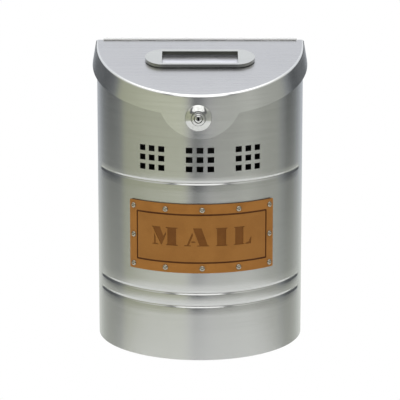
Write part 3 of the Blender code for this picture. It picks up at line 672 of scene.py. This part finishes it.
def shell_heights(vent_rows):
    """Row heights up to RIM_START; the rows above it share out the way to the sloping rim."""
    marks = [0.0]
    for middle in GROOVE_HEIGHTS:
        for step in range(-6, 7):
            marks.append(middle + step * GROOVE_HALF_WIDTH / 6)
    marks += [edge for span in vent_rows for edge in span]
    marks.append(RIM_START)
    return marks_between(sorted(marks), 10 * mm)


def build_shell():
    """The bent sheet with its grooves, vents, hinge relief and the lock's notch."""
    vent_columns, vent_rows = vent_spans()
    outline = shell_outline(vent_columns)
    heights = shell_heights(vent_rows)

    def place(column, row):
        x, y, out = outline[column]
        if row < len(heights):
            height = heights[row]
            return Vector((x, y, UNDERSIDE + height)) - out * groove_depth(height, y)
        share = (row - len(heights) + 1) / RIM_ROWS
        start = UNDERSIDE + RIM_START
        return Vector((x, y, start + (rim_height(y) - start) * share))

    bm = bent_sheet(len(outline) - 1, len(heights) + RIM_ROWS - 1, place)
    open_vents(bm, vent_columns, vent_rows)
    shell = add_piece("shell", bm, "box", [STEEL_WALL], ["body_shell"])
    thicken(shell, -1)
    hinge_low, hinge_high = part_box("hinge_leaf_box")
    reach = hinge_high.x + 0.6 * mm
    relief = bmesh.new()
    low = (-reach, SHELL_BACK_Y - 2 * mm, hinge_low.z - 3 * mm)
    add_box(relief, low, (reach, 5 * mm, LID_HIGH.z))
    cut_away(shell, relief)
    cut_away(shell, notch_tool())


def open_vents(bm, vent_columns, vent_rows):
    """Takes the faces of the square holes out of the sheet."""
    holes = []
    for low, high in vent_rows:
        for left, right in vent_columns:
            inverse = on_shell((left + right) / 2, (low + high) / 2).inverted()
            for face in bm.faces:
                x, y, out = inverse @ face.calc_center_median()
                if abs(x) < VENT_WIDTH / 2 and abs(y) < VENT_HEIGHT / 2 and abs(out) < 2 * mm:
                    holes.append(face)
    bmesh.ops.delete(bm, geom=holes, context="FACES")


def notch_tool():
    """The round-bottomed notch behind the tongue."""
    radius = 14 * mm
    outline = arc_points((0, LOCK_CENTRE.z), radius, 180, 360, 24)
    outline += [(radius, LID_HIGH.z), (-radius, LID_HIGH.z)]
    place = Matrix.Translation((LOCK_CENTRE.x, FRONT_Y, 0)) @ UPRIGHT
    return flat_plate([outline], -6 * mm, 6 * mm, place)


# ------------------------ back panel and floor tray

def keyhole_outline(x):
    """A round hole with a narrower slot above it."""
    outline = arc_points((x, KEYHOLE_HEIGHT), 5 * mm, 120, 420, 40)
    return outline + arc_points((x, KEYHOLE_HEIGHT + 9 * mm), SCREW_HOLE_RADIUS, 0, 180, 20)


def build_back_panel():
    """A flat sheet with keyholes to hang it by and plain screw holes lower down."""
    outlines = [rectangle(HALF_WIDTH, 0, BACK_PANEL_TOP)]
    for x in (-SCREW_X, SCREW_X):
        outlines.append(keyhole_outline(x))
        outlines.append(arc_points((x, SCREW_HOLE_HEIGHT), SCREW_HOLE_RADIUS, 0, 350, 35))
    bm = flat_plate(outlines, 0, BACK_SHEET, Matrix.Translation((0, 0, UNDERSIDE)) @ UPRIGHT)
    panel = add_piece("back", bm, "box", [STEEL_INSIDE], ["back_panel"])
    soften(panel, 0.15 * mm, 2)


def build_floor_tray():
    """The D-shaped tray with a rounded bend up to its wall, and four drain holes."""
    bm = bmesh.new()
    rings = []
    curve = [math.radians(1.5 * step - 90) for step in range(121)]
    bend = arc_points((TRAY_BEND, TRAY_BEND), TRAY_BEND, 180, 270, 6)
    for inset, height in [(0, TRAY_WALL), *bend]:
        reach = SHEET + TRAY_GAP + inset
        ring = []
        for angle in [-BACK_CORNER, *curve, BACK_CORNER]:
            point = plan_point(angle, HALF_WIDTH - reach, FRONT_Y + reach, SHELL_BACK_Y - reach)
            ring.append(bm.verts.new((point.x, point.y, UNDERSIDE + height)))
        rings.append(ring)
    for upper, lower in zip(rings, rings[1:]):
        for step in range(len(upper)):
            bm.faces.new((upper[step - 1], upper[step], lower[step], lower[step - 1]))
    bm.faces.new(rings[-1])
    bmesh.ops.recalc_face_normals(bm, faces=bm.faces)
    tray = add_piece("floor_tray", bm, "box", [STEEL_INSIDE], ["bottom_panel"])
    thicken(tray, -1)
    drains = bmesh.new()
    for x in (-60 * mm, 60 * mm):
        for y in (-35 * mm, -85 * mm):
            add_cylinder(drains, 3 * mm, -5 * mm, 5 * mm, Matrix.Translation((x, y, UNDERSIDE)))
    cut_away(tray, drains)


# ------------------------ hinge

def build_hinge_leaf(name, body, tail_angle, even, low, high):
    """A rolled strip whose knuckles are left standing where the other leaf is cut away."""
    start = math.radians(tail_angle)
    tail = Vector((math.sin(start), -math.cos(start))) * HINGE_LEAF_WIDTH
    touch = Vector((math.cos(start), math.sin(start))) * HINGE_CURL
    path = [tuple(touch + tail), *arc_points((0, 0), HINGE_CURL, tail_angle, tail_angle + 300, 40)]
    half = HINGE_LENGTH / 2
    bm = rolled_sheet(path, half, Matrix.Translation(HINGE_AXIS))
    leaf = add_piece(name, bm, body, [STEEL_HINGE], [name])
    thicken(leaf, 0)
    tool = bmesh.new()
    width = HINGE_LENGTH / HINGE_KNUCKLES
    for knuckle in range(HINGE_KNUCKLES):
        if (knuckle % 2 == 0) == even:
            continue
        left = -half + knuckle * width - HINGE_KNUCKLE_GAP / 2
        right = left + width + HINGE_KNUCKLE_GAP
        if knuckle == 0:
            left -= 5 * mm
        if knuckle == HINGE_KNUCKLES - 1:
            right += 5 * mm
        add_box(tool, HINGE_AXIS + Vector((left, *low)), HINGE_AXIS + Vector((right, *high)))
    cut_away(leaf, tool)


def build_hinge():
    """Two leaves that share a pin; each is cut clear of the other's knuckles."""
    clear = HINGE_CURL + SHEET / 2 + 0.7 * mm
    relief = 5 * mm
    build_hinge_leaf("hinge_leaf_box", "box", 0, True, (-relief, -clear), (relief, relief))
    tail = math.degrees(LID_TILT) - 90
    build_hinge_leaf("hinge_leaf_lid", "lid", tail, False, (-clear, -relief), (relief, relief))
    place = Matrix.Translation(HINGE_AXIS)
    build_pin("hinge_pin", "box", 1.05 * mm, HINGE_LENGTH / 2 + 0.3 * mm, place)


def build_pin(name, body, radius, half, place):
    """A pin along x with rounded ends."""
    edge = 0.3 * mm
    profile = [
        (0, half), (radius - edge, half), (radius, half - edge),
        (radius, edge - half), (radius - edge, -half), (0, -half),
    ]
    bm = turned(profile, 32, place @ ACROSS)
    add_piece(name, bm, body, [HARDWARE], [name])


# ------------------------ lid

def lid_angles():
    """Plan angles round the skirt, closer together round the tongue, meeting its corners."""
    edge = math.asin(TONGUE_HALF_WIDTH / LID_HALF_WIDTH)
    sweep = math.asin(TONGUE_HALF_WIDTH / TONGUE_RADIUS)
    side_steps, tongue_steps = 50, 64
    left = [-BACK_CORNER]
    for step in range(side_steps):
        left.append(-math.pi / 2 + (math.pi / 2 - edge) * step / side_steps)
    middle = []
    for step in range(tongue_steps + 1):
        across = TONGUE_RADIUS * math.sin(sweep * (2 * step / tongue_steps - 1))
        middle.append(math.asin(across / LID_HALF_WIDTH))
    return left + middle + [-angle for angle in reversed(left)]


def skirt_bottom(x, y):
    height = lid_height(y) - SKIRT_DROP
    if abs(x) >= TONGUE_HALF_WIDTH:
        return height
    return min(height, TONGUE_CENTRE - math.sqrt(TONGUE_RADIUS**2 - x**2))


BEND_ROWS = 8
SKIRT_ROWS = 6


def lid_point(angle, row):
    """Rows up to BEND_ROWS run round the top edge's bend, and the rest down the skirt."""
    share = min(row / BEND_ROWS, 1)
    bend = math.radians(90 * share)
    inset = LID_BEND * (1 - math.sin(bend))
    drop = LID_BEND * (1 - math.cos(bend))
    point = plan_point(angle, LID_HALF_WIDTH - inset, LID_FRONT_Y + inset, LID_BACK_Y)
    top = lid_height(point.y) - drop
    if row <= BEND_ROWS:
        return Vector((point.x, point.y, top))
    down = (row - BEND_ROWS) / SKIRT_ROWS
    sideways = point.x / LID_HALF_WIDTH
    flare = LID_FLARE * sideways * abs(sideways) * down
    bottom = skirt_bottom(point.x, point.y)
    return Vector((point.x + flare, point.y, top + (bottom - top) * down))


def build_lid():
    """The sloping panel and skirt, cut for the hinge, the mail slot and the lock."""
    angles = lid_angles()
    rows = BEND_ROWS + SKIRT_ROWS
    bm = bent_sheet(len(angles) - 1, rows, lambda column, row: lid_point(angles[column], rows - row))
    ring = []
    for angle in angles:
        corner = lid_point(angle, 0)
        ring.append(min(bm.verts, key=lambda vert: (vert.co - corner).length_squared))
    panel = bm.faces.new(ring)
    bmesh.ops.recalc_face_normals(bm, faces=bm.faces)
    panel.material_index = 1
    lid = add_piece("lid", bm, "lid", [STEEL_SKIRT_SHEEN, STEEL_LID], ["lid_shell"])
    thicken(lid, -1)
    tool = bmesh.new()
    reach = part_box("hinge_pin")[1].x + 0.5 * mm
    add_box(tool, (-reach, -6.9 * mm, -5 * mm), (reach, 5 * mm, 5 * mm), LID_PLANE)
    half = Vector((SLOT_HALF_LENGTH, SLOT_DEPTH / 2, 5 * mm))
    middle = Vector((0, SLOT_CENTRE, 0))
    add_box(tool, middle - half, middle + half, LID_PLANE)
    add_cylinder(tool, 6.4 * mm, -5 * mm, 5 * mm, LOCK_PLACE)
    cut_away(lid, tool, finish=1)


# ------------------------ mail slot

def stadium(inset):
    """The bezel's round-ended outline in the lid's plane, drawn in by inset."""
    radius = BEZEL_DEPTH / 2 - inset
    centre_x = BEZEL_HALF_LENGTH - BEZEL_DEPTH / 2
    outline = arc_points((centre_x, BEZEL_CENTRE), radius, -90, 90, 40)
    return outline + arc_points((-centre_x, BEZEL_CENTRE), radius, 90, 270, 40)


def paint_slot_shade(bezel):
    """The walls round the slot take the near-black steel: painted shade down inside the slot."""
    inverse = LID_PLANE.inverted()
    for face in bezel.data.polygons:
        centre = inverse @ face.center
        along = abs(centre.x) < SLOT_HALF_LENGTH + 0.1 * mm
        across = abs(centre.y - SLOT_CENTRE) < SLOT_DEPTH / 2 + 0.1 * mm
        if along and across:
            face.material_index = 1


def build_bezel():
    """The raised frame on its narrower foot, with rounded upper edges, and its studs."""
    slot = rectangle(SLOT_HALF_LENGTH, SLOT_CENTRE - SLOT_DEPTH / 2, SLOT_CENTRE + SLOT_DEPTH / 2)
    low = PIECE_GAP + BEZEL_FOOT
    bm = flat_plate([stadium(0), slot], low, PIECE_GAP + BEZEL_HEIGHT, LID_PLANE)
    bezel = add_piece("bezel", bm, "lid", [STEEL_BEZEL, STEEL_PAINTED_SHADE], ["slot_bezel"])
    soften(bezel, 0.6 * mm, 3)
    paint_slot_shade(bezel)
    # The narrower foot is in the near-black steel: a painted contact shadow under the bezel's edge.
    bm = flat_plate([stadium(0.8 * mm), slot], PIECE_GAP, low + 0.2 * mm, LID_PLANE)
    add_piece("bezel_foot", bm, "lid", [STEEL_PAINTED_SHADE])
    for side, x in (("left", -STUD_X), ("right", STUD_X)):
        stud = bmesh.new()
        place = LID_PLANE @ Matrix.Translation((x, BEZEL_CENTRE, 0))
        add_cylinder(stud, 2.0 * mm, -5.5 * mm, PIECE_GAP, place, 24)
        add_piece("bezel_stud_" + side, stud, "lid", [STEEL_BEZEL])
        centre = (x, BEZEL_CENTRE)
        build_nut("bezel_nut_" + side, centre, 4 * mm, 2.3 * mm, -3.5 * mm, -1.1 * mm, LID_PLANE)


def build_nut(name, centre, radius, hole, low, high, place):
    """A hexagon nut with broken edges; low and high run along the thread."""
    hexagon = arc_points(centre, radius, 0, 300, 5)
    bm = flat_plate([hexagon, arc_points(centre, hole, 0, 350, 35)], low, high, place)
    nut = add_piece(name, bm, "lid", [HARDWARE], [name])
    soften(nut, 0.35 * mm, 3)


def build_flap():
    """The flap's plate under the slot, with its rounded front lip and the curl on its pin."""
    middle = Vector((0, *FLAP_AXIS_ON_LID.yz))
    turn = 0.9 * mm
    path = [(FLAP_FRONT, FLAP_PLATE_W - FLAP_LIP)]
    path += arc_points((FLAP_FRONT + turn, FLAP_PLATE_W - turn), turn, 180, 90, 8)
    path += arc_points(middle.yz, FLAP_CURL, 90, -200, 36)
    bm = rolled_sheet(path, FLAP_HALF_LENGTH, LID_PLANE)
    flap = add_piece("slot_cover", bm, "flap", [STEEL_FLAP_LIT], ["slot_flap"])
    thicken(flap, 0)
    tool = bmesh.new()
    reach = 10 * mm
    low = middle - Vector((reach, 4.5 * mm, reach))
    add_box(tool, low, middle + Vector((reach, reach, reach)), LID_PLANE)
    cut_away(flap, tool)
    place = LID_PLANE @ Matrix.Translation(middle)
    build_pin("flap_pin", "lid", 0.8 * mm, 55 * mm, place)
    for side, sign in (("left", -1), ("right", 1)):
        build_bracket("flap_bracket_" + side, sign, middle)


def build_bracket(name, sign, axis):
    """A small angle bracket under the lid whose ear holds the flap's pin."""
    turn = 1.0 * mm
    foot_w = -(SHEET + PIECE_GAP + SHEET / 2)
    ear = 53 * mm
    path = [(ear + 10 * mm, foot_w)]
    path += arc_points((ear + turn, foot_w - turn), turn, 90, 180, 8)
    path.append((ear, axis.z - 3 * mm))

    def place(column, row):
        x, w = path[row]
        v = axis.y + 4 * mm if column == 0 else axis.y - 5 * mm
        return LID_PLANE @ Vector((sign * x, v, w))

    bm = bent_sheet(1, len(path) - 1, place)
    bracket = add_piece(name, bm, "lid", [HARDWARE], [name])
    thicken(bracket, 0)
    tool = bmesh.new()
    centre = Matrix.Translation((sign * ear, axis.y, axis.z))
    add_cylinder(tool, 1.1 * mm, -2 * mm, 2 * mm, LID_PLANE @ centre @ ACROSS)
    cut_away(bracket, tool)


def build_spring():
    """The flap's torsion spring: a wire coiled about the flap's axis, with one leg running back and the
    other forward under the flap.
    """
    wire_radius = 0.35 * mm
    coil_radius = 1.6 * mm
    turns, steps = 6, 24
    pitch = 2 * wire_radius + 0.35 * mm
    start_x = -turns * pitch / 2
    v, w = FLAP_AXIS_ON_LID.yz
    under_flap = w + 0.45 * mm
    points = [(start_x, v + 11 * mm, w + coil_radius)]
    for step in range(turns * steps + 1):
        angle = math.radians(90 + 360 * step / steps)
        x = start_x + pitch * step / steps
        points.append((x, v + coil_radius * math.cos(angle), w + coil_radius * math.sin(angle)))
    points.append((-start_x, v - 4.5 * mm, under_flap))
    points += [(-start_x, v - (4.5 + 2 * step) * mm, under_flap) for step in range(1, 7)]
    curve = bpy.data.curves.new("spring", "CURVE")
    curve.dimensions = "3D"
    curve.bevel_depth = wire_radius
    curve.bevel_resolution = 3
    curve.use_fill_caps = True
    spline = curve.splines.new("POLY")
    spline.points.add(len(points) - 1)
    for point, place in zip(spline.points, points):
        point.co = (*(LID_PLANE @ Vector(place)), 1)
    spring = link_mesh("spring", mesh_of_curve(curve), [SPRING_WIRE])
    spring.data.shade_smooth()
    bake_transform(spring)
    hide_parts("flap_spring")


# ------------------------ lock

def build_lock():
    """Escutcheon, barrel and keyed plug, as profiles turned about the lock's axis."""
    escutcheon = [
        (7.9 * mm, 4.5 * mm), (8.3 * mm, 4.9 * mm), (9.0 * mm, 5.0 * mm), (9.6 * mm, 4.8 * mm),
        (12.5 * mm, 3.5 * mm), (15.2 * mm, 2.1 * mm), (15.9 * mm, 1.6 * mm),
        (16.2 * mm, 0.9 * mm), (16.2 * mm, -0.8 * mm), (7.9 * mm, 0.3 * mm),
    ]
    bm = turned(escutcheon, 96, LOCK_PLACE, closed=True)
    add_piece("escutcheon", bm, "lid", [CHROME], ["lock_escutcheon"])
    barrel = [
        (5.3 * mm, 7.6 * mm), (5.4 * mm, 7.8 * mm), (5.7 * mm, 7.7 * mm), (6.3 * mm, 7.1 * mm),
        (6.5 * mm, 7.0 * mm), (7.7 * mm, 7.0 * mm), (8.1 * mm, 6.8 * mm), (8.3 * mm, 6.3 * mm),
        (8.2 * mm, 5.6 * mm), (7.4 * mm, 5.4 * mm), (7.4 * mm, 0.3 * mm), (6.0 * mm, 0.3 * mm),
        (6.0 * mm, -9.3 * mm), (5.3 * mm, -9.3 * mm),
    ]
    bm = turned(barrel, 64, LOCK_PLACE, closed=True)
    add_piece("lock_barrel_turned", bm, "lid", [CHROME], ["lock_barrel"])
    plug = [(0, 8.2 * mm), (2.0 * mm, 8.2 * mm)]
    for tilt in range(8, 49, 8):
        angle = math.radians(tilt)
        plug.append((2.0 * mm + 3.7 * mm * math.sin(angle), 4.5 * mm + 3.7 * mm * math.cos(angle)))
    plug += [
        (5.0 * mm, 6.6 * mm), (5.0 * mm, -9.6 * mm), (3.0 * mm, -9.6 * mm), (3.0 * mm, -12.4 * mm),
        (1.7 * mm, -12.4 * mm), (1.7 * mm, -6.0 * mm), (0, -6.0 * mm),
    ]
    bm = turned(plug, 48, LOCK_PLACE)
    piece = add_piece("lock_plug_keyed", bm, "lock", [CHROME, KEYWAY_PAINTED_SHADE], ["lock_plug"])
    # The keyway's walls take the near-black finish: painted shade inside the slot for the key.
    keyway = flat_plate([keyway_outline()], 0, 12 * mm, LOCK_PLACE)
    cut_away(piece, keyway, finish=1)


def build_cam():
    """The lock's nut, its cam pointing up when unlocked, and the cam's screw."""
    build_nut("lock_nut", (0, 0), 10.4 * mm, 6.3 * mm, -4.7 * mm, -1.7 * mm, LOCK_PLACE)
    half = 6 * mm
    outline = arc_points((0, 0), half, 180, 360, 24)
    outline += arc_points((0, 16 * mm), half, 0, 180, 24)
    hole = arc_points((0, 0), 3.3 * mm, 0, 350, 35)
    bm = flat_plate([outline, hole], -12 * mm, -10 * mm, LOCK_PLACE)
    cam = add_piece("lock_cam", bm, "lock", [HARDWARE], ["lock_cam"])
    soften(cam, 0.25 * mm, 2)
    screw = [
        (0, -6.6 * mm), (1.2 * mm, -6.6 * mm), (1.4 * mm, -6.9 * mm), (1.4 * mm, -12.7 * mm),
        (4.4 * mm, -12.7 * mm), (4.5 * mm, -12.9 * mm), (4.5 * mm, -13.9 * mm),
        (4.1 * mm, -14.5 * mm), (3.2 * mm, -14.9 * mm), (2.0 * mm, -15.0 * mm), (0, -15.0 * mm),
    ]
    bm = turned(screw, 40, LOCK_PLACE)
    piece = add_piece("cam_screw", bm, "lock", [HARDWARE], ["cam_screw"])
    arm, width, floor_z = 2.4 * mm, 0.45 * mm, -13.8 * mm
    for reach_x, reach_y in ((arm, width), (width, arm)):
        tool = bmesh.new()
        low = (-reach_x, -reach_y, -16 * mm)
        add_box(tool, low, (reach_x, reach_y, floor_z), LOCK_PLACE)
        cut_away(piece, tool)


def keyway_outline():
    """A round-ended key slot, taller than wide."""
    half = 1.0 * mm
    outline = arc_points((0, 1.2 * mm), half, 0, 180, 12)
    outline += arc_points((0, -1.4 * mm), half, 180, 360, 12)
    return outline


# ------------------------ label

def slab_stem(left, width, serif):
    """An upright with thin serifs at both ends, in millimetres."""
    right = left + width
    high = LETTER_HEIGHT / mm
    foot = 1.3
    return [
        (left - serif, 0), (right + serif, 0), (right + serif, foot * 0.6), (right, foot),
        (right, high - foot), (right + serif, high - foot * 0.6), (right + serif, high),
        (left - serif, high), (left - serif, high - foot * 0.6), (left, high - foot), (left, foot),
        (left - serif, foot * 0.6),
    ]


def letter_shapes():
    """The word in plain fat letters whose strokes stand apart, as in a cut stencil."""
    h = LETTER_HEIGHT / mm
    letter_m = [
        [
            (0, h), (10.6, h), (15.2, 11), (18.2, 16.4), (18.7, 14), (13.2, 0.4), (12, 0.4),
            (3.2, 17), (1.8, h - 1.4), (0, h - 0.9),
        ],
        [(3.0, 13.5), (4.9, 9.6), (5.2, 1.5), (8.4, 0.9), (8.4, 0), (0.5, 0), (0.5, 0.9), (3, 1.5)],
        slab_stem(20.4, 10.8, 2.0),
    ]
    letter_a = [
        [(0, 0), (8.2, 0), (8.2, 0.9), (5.8, 1.3), (10.9, 14.2), (9.6, 16.8), (3.3, 1.3), (0, 0.9)],
        [(10.6, h), (20.8, h), (28.2, 1.3), (30, 0.9), (30, 0), (15.4, 0), (15.4, 0.9), (18.3, 1.3)],
        [(8.4, 4.6), (13.6, 4.6), (13.0, 6.1), (9.0, 6.1)],
    ]
    letter_i = [slab_stem(1.6, 11.1, 1.6)]
    letter_l = [
        slab_stem(1.5, 10.6, 1.5),
        [(15.0, 0), (22.6, 0), (23.3, 8.8), (21.4, 6.6), (19.2, 2.6), (15.0, 1.1)],
    ]
    placed = []
    for start, shapes in ((-62.6, letter_m), (-21.6, letter_a), (16.3, letter_i), (39.0, letter_l)):
        for shape in shapes:
            placed.append([((start + x) * mm, LETTER_BASE + y * mm) for x, y in shape])
    return placed


def rounded_rectangle(half_width, low, high, radius):
    outline = []
    middle = (low + high) / 2
    reach_x, reach_y = half_width - radius, high - middle - radius
    for start, x, y in ((0, 1, 1), (90, -1, 1), (180, -1, -1), (270, 1, -1)):
        corner = (x * reach_x, middle + y * reach_y)
        outline += arc_points(corner, radius, start, start + 90, 6)
    return outline


def press_tool(outlines):
    """A cutter that reaches from above the leather down to the pressed depth."""
    return flat_plate(outlines, LABEL_THICKNESS - PRESS_DEPTH, LABEL_THICKNESS + PRESS_DEPTH)


def build_label():
    """A leather plate worked flat, with its border line and letters pressed in, then bent on."""
    plate = rounded_rectangle(LABEL_HALF_ARC, LABEL_BOTTOM, LABEL_TOP, 1.5 * mm)
    bm = flat_plate([plate], 0, LABEL_THICKNESS)
    materials = [LEATHER, LEATHER_EDGE, LEATHER_PRESSED_AND_EDGE_SHADE, LEATHER_LETTER]
    label = add_piece("leather_label", bm, "box", materials, ["label_plate"])
    soften(label, 0.5 * mm, 3)
    low = LABEL_BOTTOM + TOOLED_MARGIN
    high = LABEL_TOP - TOOLED_MARGIN
    half = TOOLED_HALF_ARC
    outer = rounded_rectangle(half + TOOLED_WIDTH / 2, low, high, 1.5 * mm)
    inner = rounded_rectangle(
        half - TOOLED_WIDTH / 2, low + TOOLED_WIDTH, high - TOOLED_WIDTH, 0.8 * mm,
    )
    cut_away(label, press_tool([outer, inner]))
    cut_away(label, press_tool(letter_shapes()))
    bend_label(label, low, high)


def label_material(centre, normal, low, high):
    """Which leather a face of the flat plate takes: its side edges get the tooled line's dark leather as
    a painted shadow along the edges.
    """
    half = TOOLED_HALF_ARC - TOOLED_WIDTH
    inside = abs(centre.x) < half and low + TOOLED_WIDTH < centre.y < high - TOOLED_WIDTH
    pressed = LABEL_THICKNESS / 3 < centre.z < LABEL_THICKNESS - PRESS_DEPTH / 4
    if pressed and inside:
        return 3
    # Side faces get the dark leather too: a painted shadow along the plate's edges.
    if pressed or normal.z < 0.5:
        return 2
    return 0 if inside else 1


def bend_label(label, low, high):
    """Cuts the flat label into narrow strips, gives its faces their leather and wraps it on."""
    bm = bmesh.new()
    bm.from_mesh(label.data)
    strip = 2.5 * mm
    arc = strip - LABEL_HALF_ARC
    while arc < LABEL_HALF_ARC:
        geometry = [*bm.verts, *bm.edges, *bm.faces]
        bmesh.ops.bisect_plane(
            bm, geom=geometry, plane_co=(arc, 0, 0), plane_no=(1, 0, 0), dist=0.01 * mm,
        )
        arc += strip
    for face in bm.faces:
        face.material_index = label_material(face.calc_center_median(), face.normal, low, high)
    for vert in bm.verts:
        arc, height, lift = vert.co
        vert.co = on_shell(LABEL_CENTRE_ARC + arc, height, LABEL_LIFT + lift).translation
    bm.to_mesh(label.data)
    bm.free()
    shade(label.data)


def rivet_places():
    """Arc and height of each rivet: five along each long side and one at each end."""
    low = LABEL_BOTTOM + 6 * mm
    high = LABEL_TOP - 7 * mm
    places = []
    for height in (low, high):
        for step in range(-2, 3):
            places.append((LABEL_CENTRE_ARC + RIVET_ARC * step / 2, height))
    middle = (low + high) / 2
    places.append((LABEL_CENTRE_ARC - RIVET_ARC, middle))
    places.append((LABEL_CENTRE_ARC + RIVET_ARC, middle))
    return places


def build_rivets():
    """Round heads with a dimple, their shanks through the sheet and a crimp behind it."""
    lift = LABEL_LIFT + LABEL_THICKNESS + 0.2 * mm
    inside = -(lift + SHEET + PIECE_GAP)
    profile = [(0, 0.75 * mm), (0.7 * mm, 0.75 * mm), (1.0 * mm, 0.95 * mm), (1.15 * mm, 1.4 * mm)]
    crown = 1.35 * mm
    for step in range(9):
        angle = math.radians(90 - 10 * step)
        radius = crown + (RIVET_HEAD_RADIUS - crown) * math.cos(angle)
        profile.append((radius, 0.2 * mm + 1.3 * mm * math.sin(angle)))
    profile += [
        (RIVET_HEAD_RADIUS, 0), (RIVET_SHANK_RADIUS, -0.1 * mm), (RIVET_SHANK_RADIUS, inside),
        (2.2 * mm, inside - 0.4 * mm), (2.2 * mm, inside - 1.0 * mm),
        (RIVET_SHANK_RADIUS, inside - 2.2 * mm), (0, inside - 2.2 * mm),
    ]
    for number, (arc, height) in enumerate(rivet_places(), start=1):
        name = f"rivet_{number:02d}"
        bm = turned(profile, 32, on_shell(arc, height, lift))
        add_piece(name, bm, "box", [NICKEL], ["label_" + name])


# ------------------------ studio

def build_floor():
    """A pale oval well below the mailbox, which lights its underside."""
    material, tree, shader = finish_named("floor_paper")
    paper = tree.noise((3, 3, 3), 2.0, 0.5)
    colour = tree.mix(paper, (0.93, 0.93, 0.93), (0.95, 0.95, 0.95))
    tree.fill(shader, {"Base Color": colour, "Roughness": 0.9})
    bm = bmesh.new()
    oval = Matrix.Diagonal((1.7, 1.42, 1, 1))
    bmesh.ops.create_circle(bm, cap_ends=True, segments=96, radius=1, matrix=oval)
    floor = link_mesh("floor", bm, [material])
    floor.location = (0, -0.6, -0.6)


def wall_stop(degrees, brightness, tint=(1, 1, 1)):
    """A stop of the tent's wall: the angle runs from straight ahead of the mailbox to its right."""
    return degrees / 360 + 0.5, tuple(brightness * value for value in tint)


def build_world():
    """A soft tent: bright overhead and behind, grey in front, dark gaps at each side."""
    world = bpy.data.worlds.new("studio")
    world.use_nodes = True
    bpy.context.scene.world = world
    tree = Tree(world.node_tree)
    background = world.node_tree.nodes["Background"]
    direction = tree.node("ShaderNodeTexCoord")
    east, north, up = [
        tree.node("ShaderNodeSeparateXYZ", None, [direction], output=axis) for axis in range(3)
    ]
    turn = east.math("ARCTAN2", north * -1.0) / math.tau
    olive, cool, warm = (1.0, 1.03, 0.77), (0.95, 1.0, 1.08), (1.0, 1.02, 0.94)
    stops = [wall_stop(*stop) for stop in [
        (-180, 0.66, cool), (-158, 0.62, cool), (-141, 0.30, cool), (-125, 0.14, cool),
        (-112, 0.19, cool), (-106, 0.27, cool), (-99, 0.56, olive), (-60, 0.70, olive),
        (-36, 0.74, olive), (-20, 0.76, olive), (-12, 0.48), (-7, 0.10, cool), (0, 0.20, cool),
        (10, 0.48), (25, 0.54, warm), (42, 0.58, warm), (60, 0.70, warm), (80, 0.58, warm),
        (102, 0.54, warm), (110, 0.36, cool), (120, 0.12, cool), (130, 0.16, cool),
        (142, 0.40, cool), (158, 0.70, cool), (180, 0.66, cool),
    ]]
    walls = tree.node("ShaderNodeValToRGB", {"stops": stops}, [turn + 0.5])
    aside = turn.math("ABSOLUTE")
    below = 1 - up.between(-0.24, -0.185)
    sky = tree.mix(below * (aside.between(0.25, 0.34) * 0.34 + 0.34), walls, (0.93, 0.95, 0.86))
    sky = tree.mix(up.between(0.33, 0.58), sky, (1.15, 1.15, 1.12))
    gap = north.between(0.5, 0.85) * up.between(-0.16, -0.06) * (1 - up.between(0.22, 0.42))
    sky = tree.mix(gap, sky, (0.12, 0.125, 0.13))
    behind = north.between(0.2, 0.55) * up.between(0.3, 0.5)
    sky = tree.mix(behind, sky, (1.24, 1.27, 1.33))
    sky = tree.mix(up.between(0.74, 0.93), sky, (2.7, 2.7, 2.7))
    banner = (1 - aside.between(0.118, 0.130)) * up.between(0.20, 0.26) * (1 - up.between(0.80, 0.88))
    lamp = (1 - aside.between(0.088, 0.098)) * up.between(0.41, 0.46)
    sky = tree.mix(banner, sky, (0.20, 0.20, 0.21))
    sky = tree.mix(banner * lamp, sky, (2.1, 2.1, 2.1))
    seen = tree.node("ShaderNodeLightPath")
    tree.fill(background, {"Color": tree.mix(seen, sky, (1.0, 1.0, 1.0))})


def build_camera():
    """Well back from the front, above the lid and looking down a little."""
    data = bpy.data.cameras.new("camera")
    data.lens = 203
    data.sensor_width = 36
    camera = link_new("camera", data)
    camera.location = (0, FRONT_Y - 2.675, UNDERSIDE + 0.790)
    camera.rotation_euler = (math.radians(90 - 12.39), 0, 0)
    bpy.context.scene.camera = camera
    bpy.context.scene.view_settings.view_transform = "Standard"


build_camera()
build_floor()
build_world()
build_shell()
build_back_panel()
build_floor_tray()
build_hinge()
build_lid()
build_bezel()
build_flap()
build_spring()
build_lock()
build_cam()
build_label()
build_rivets()
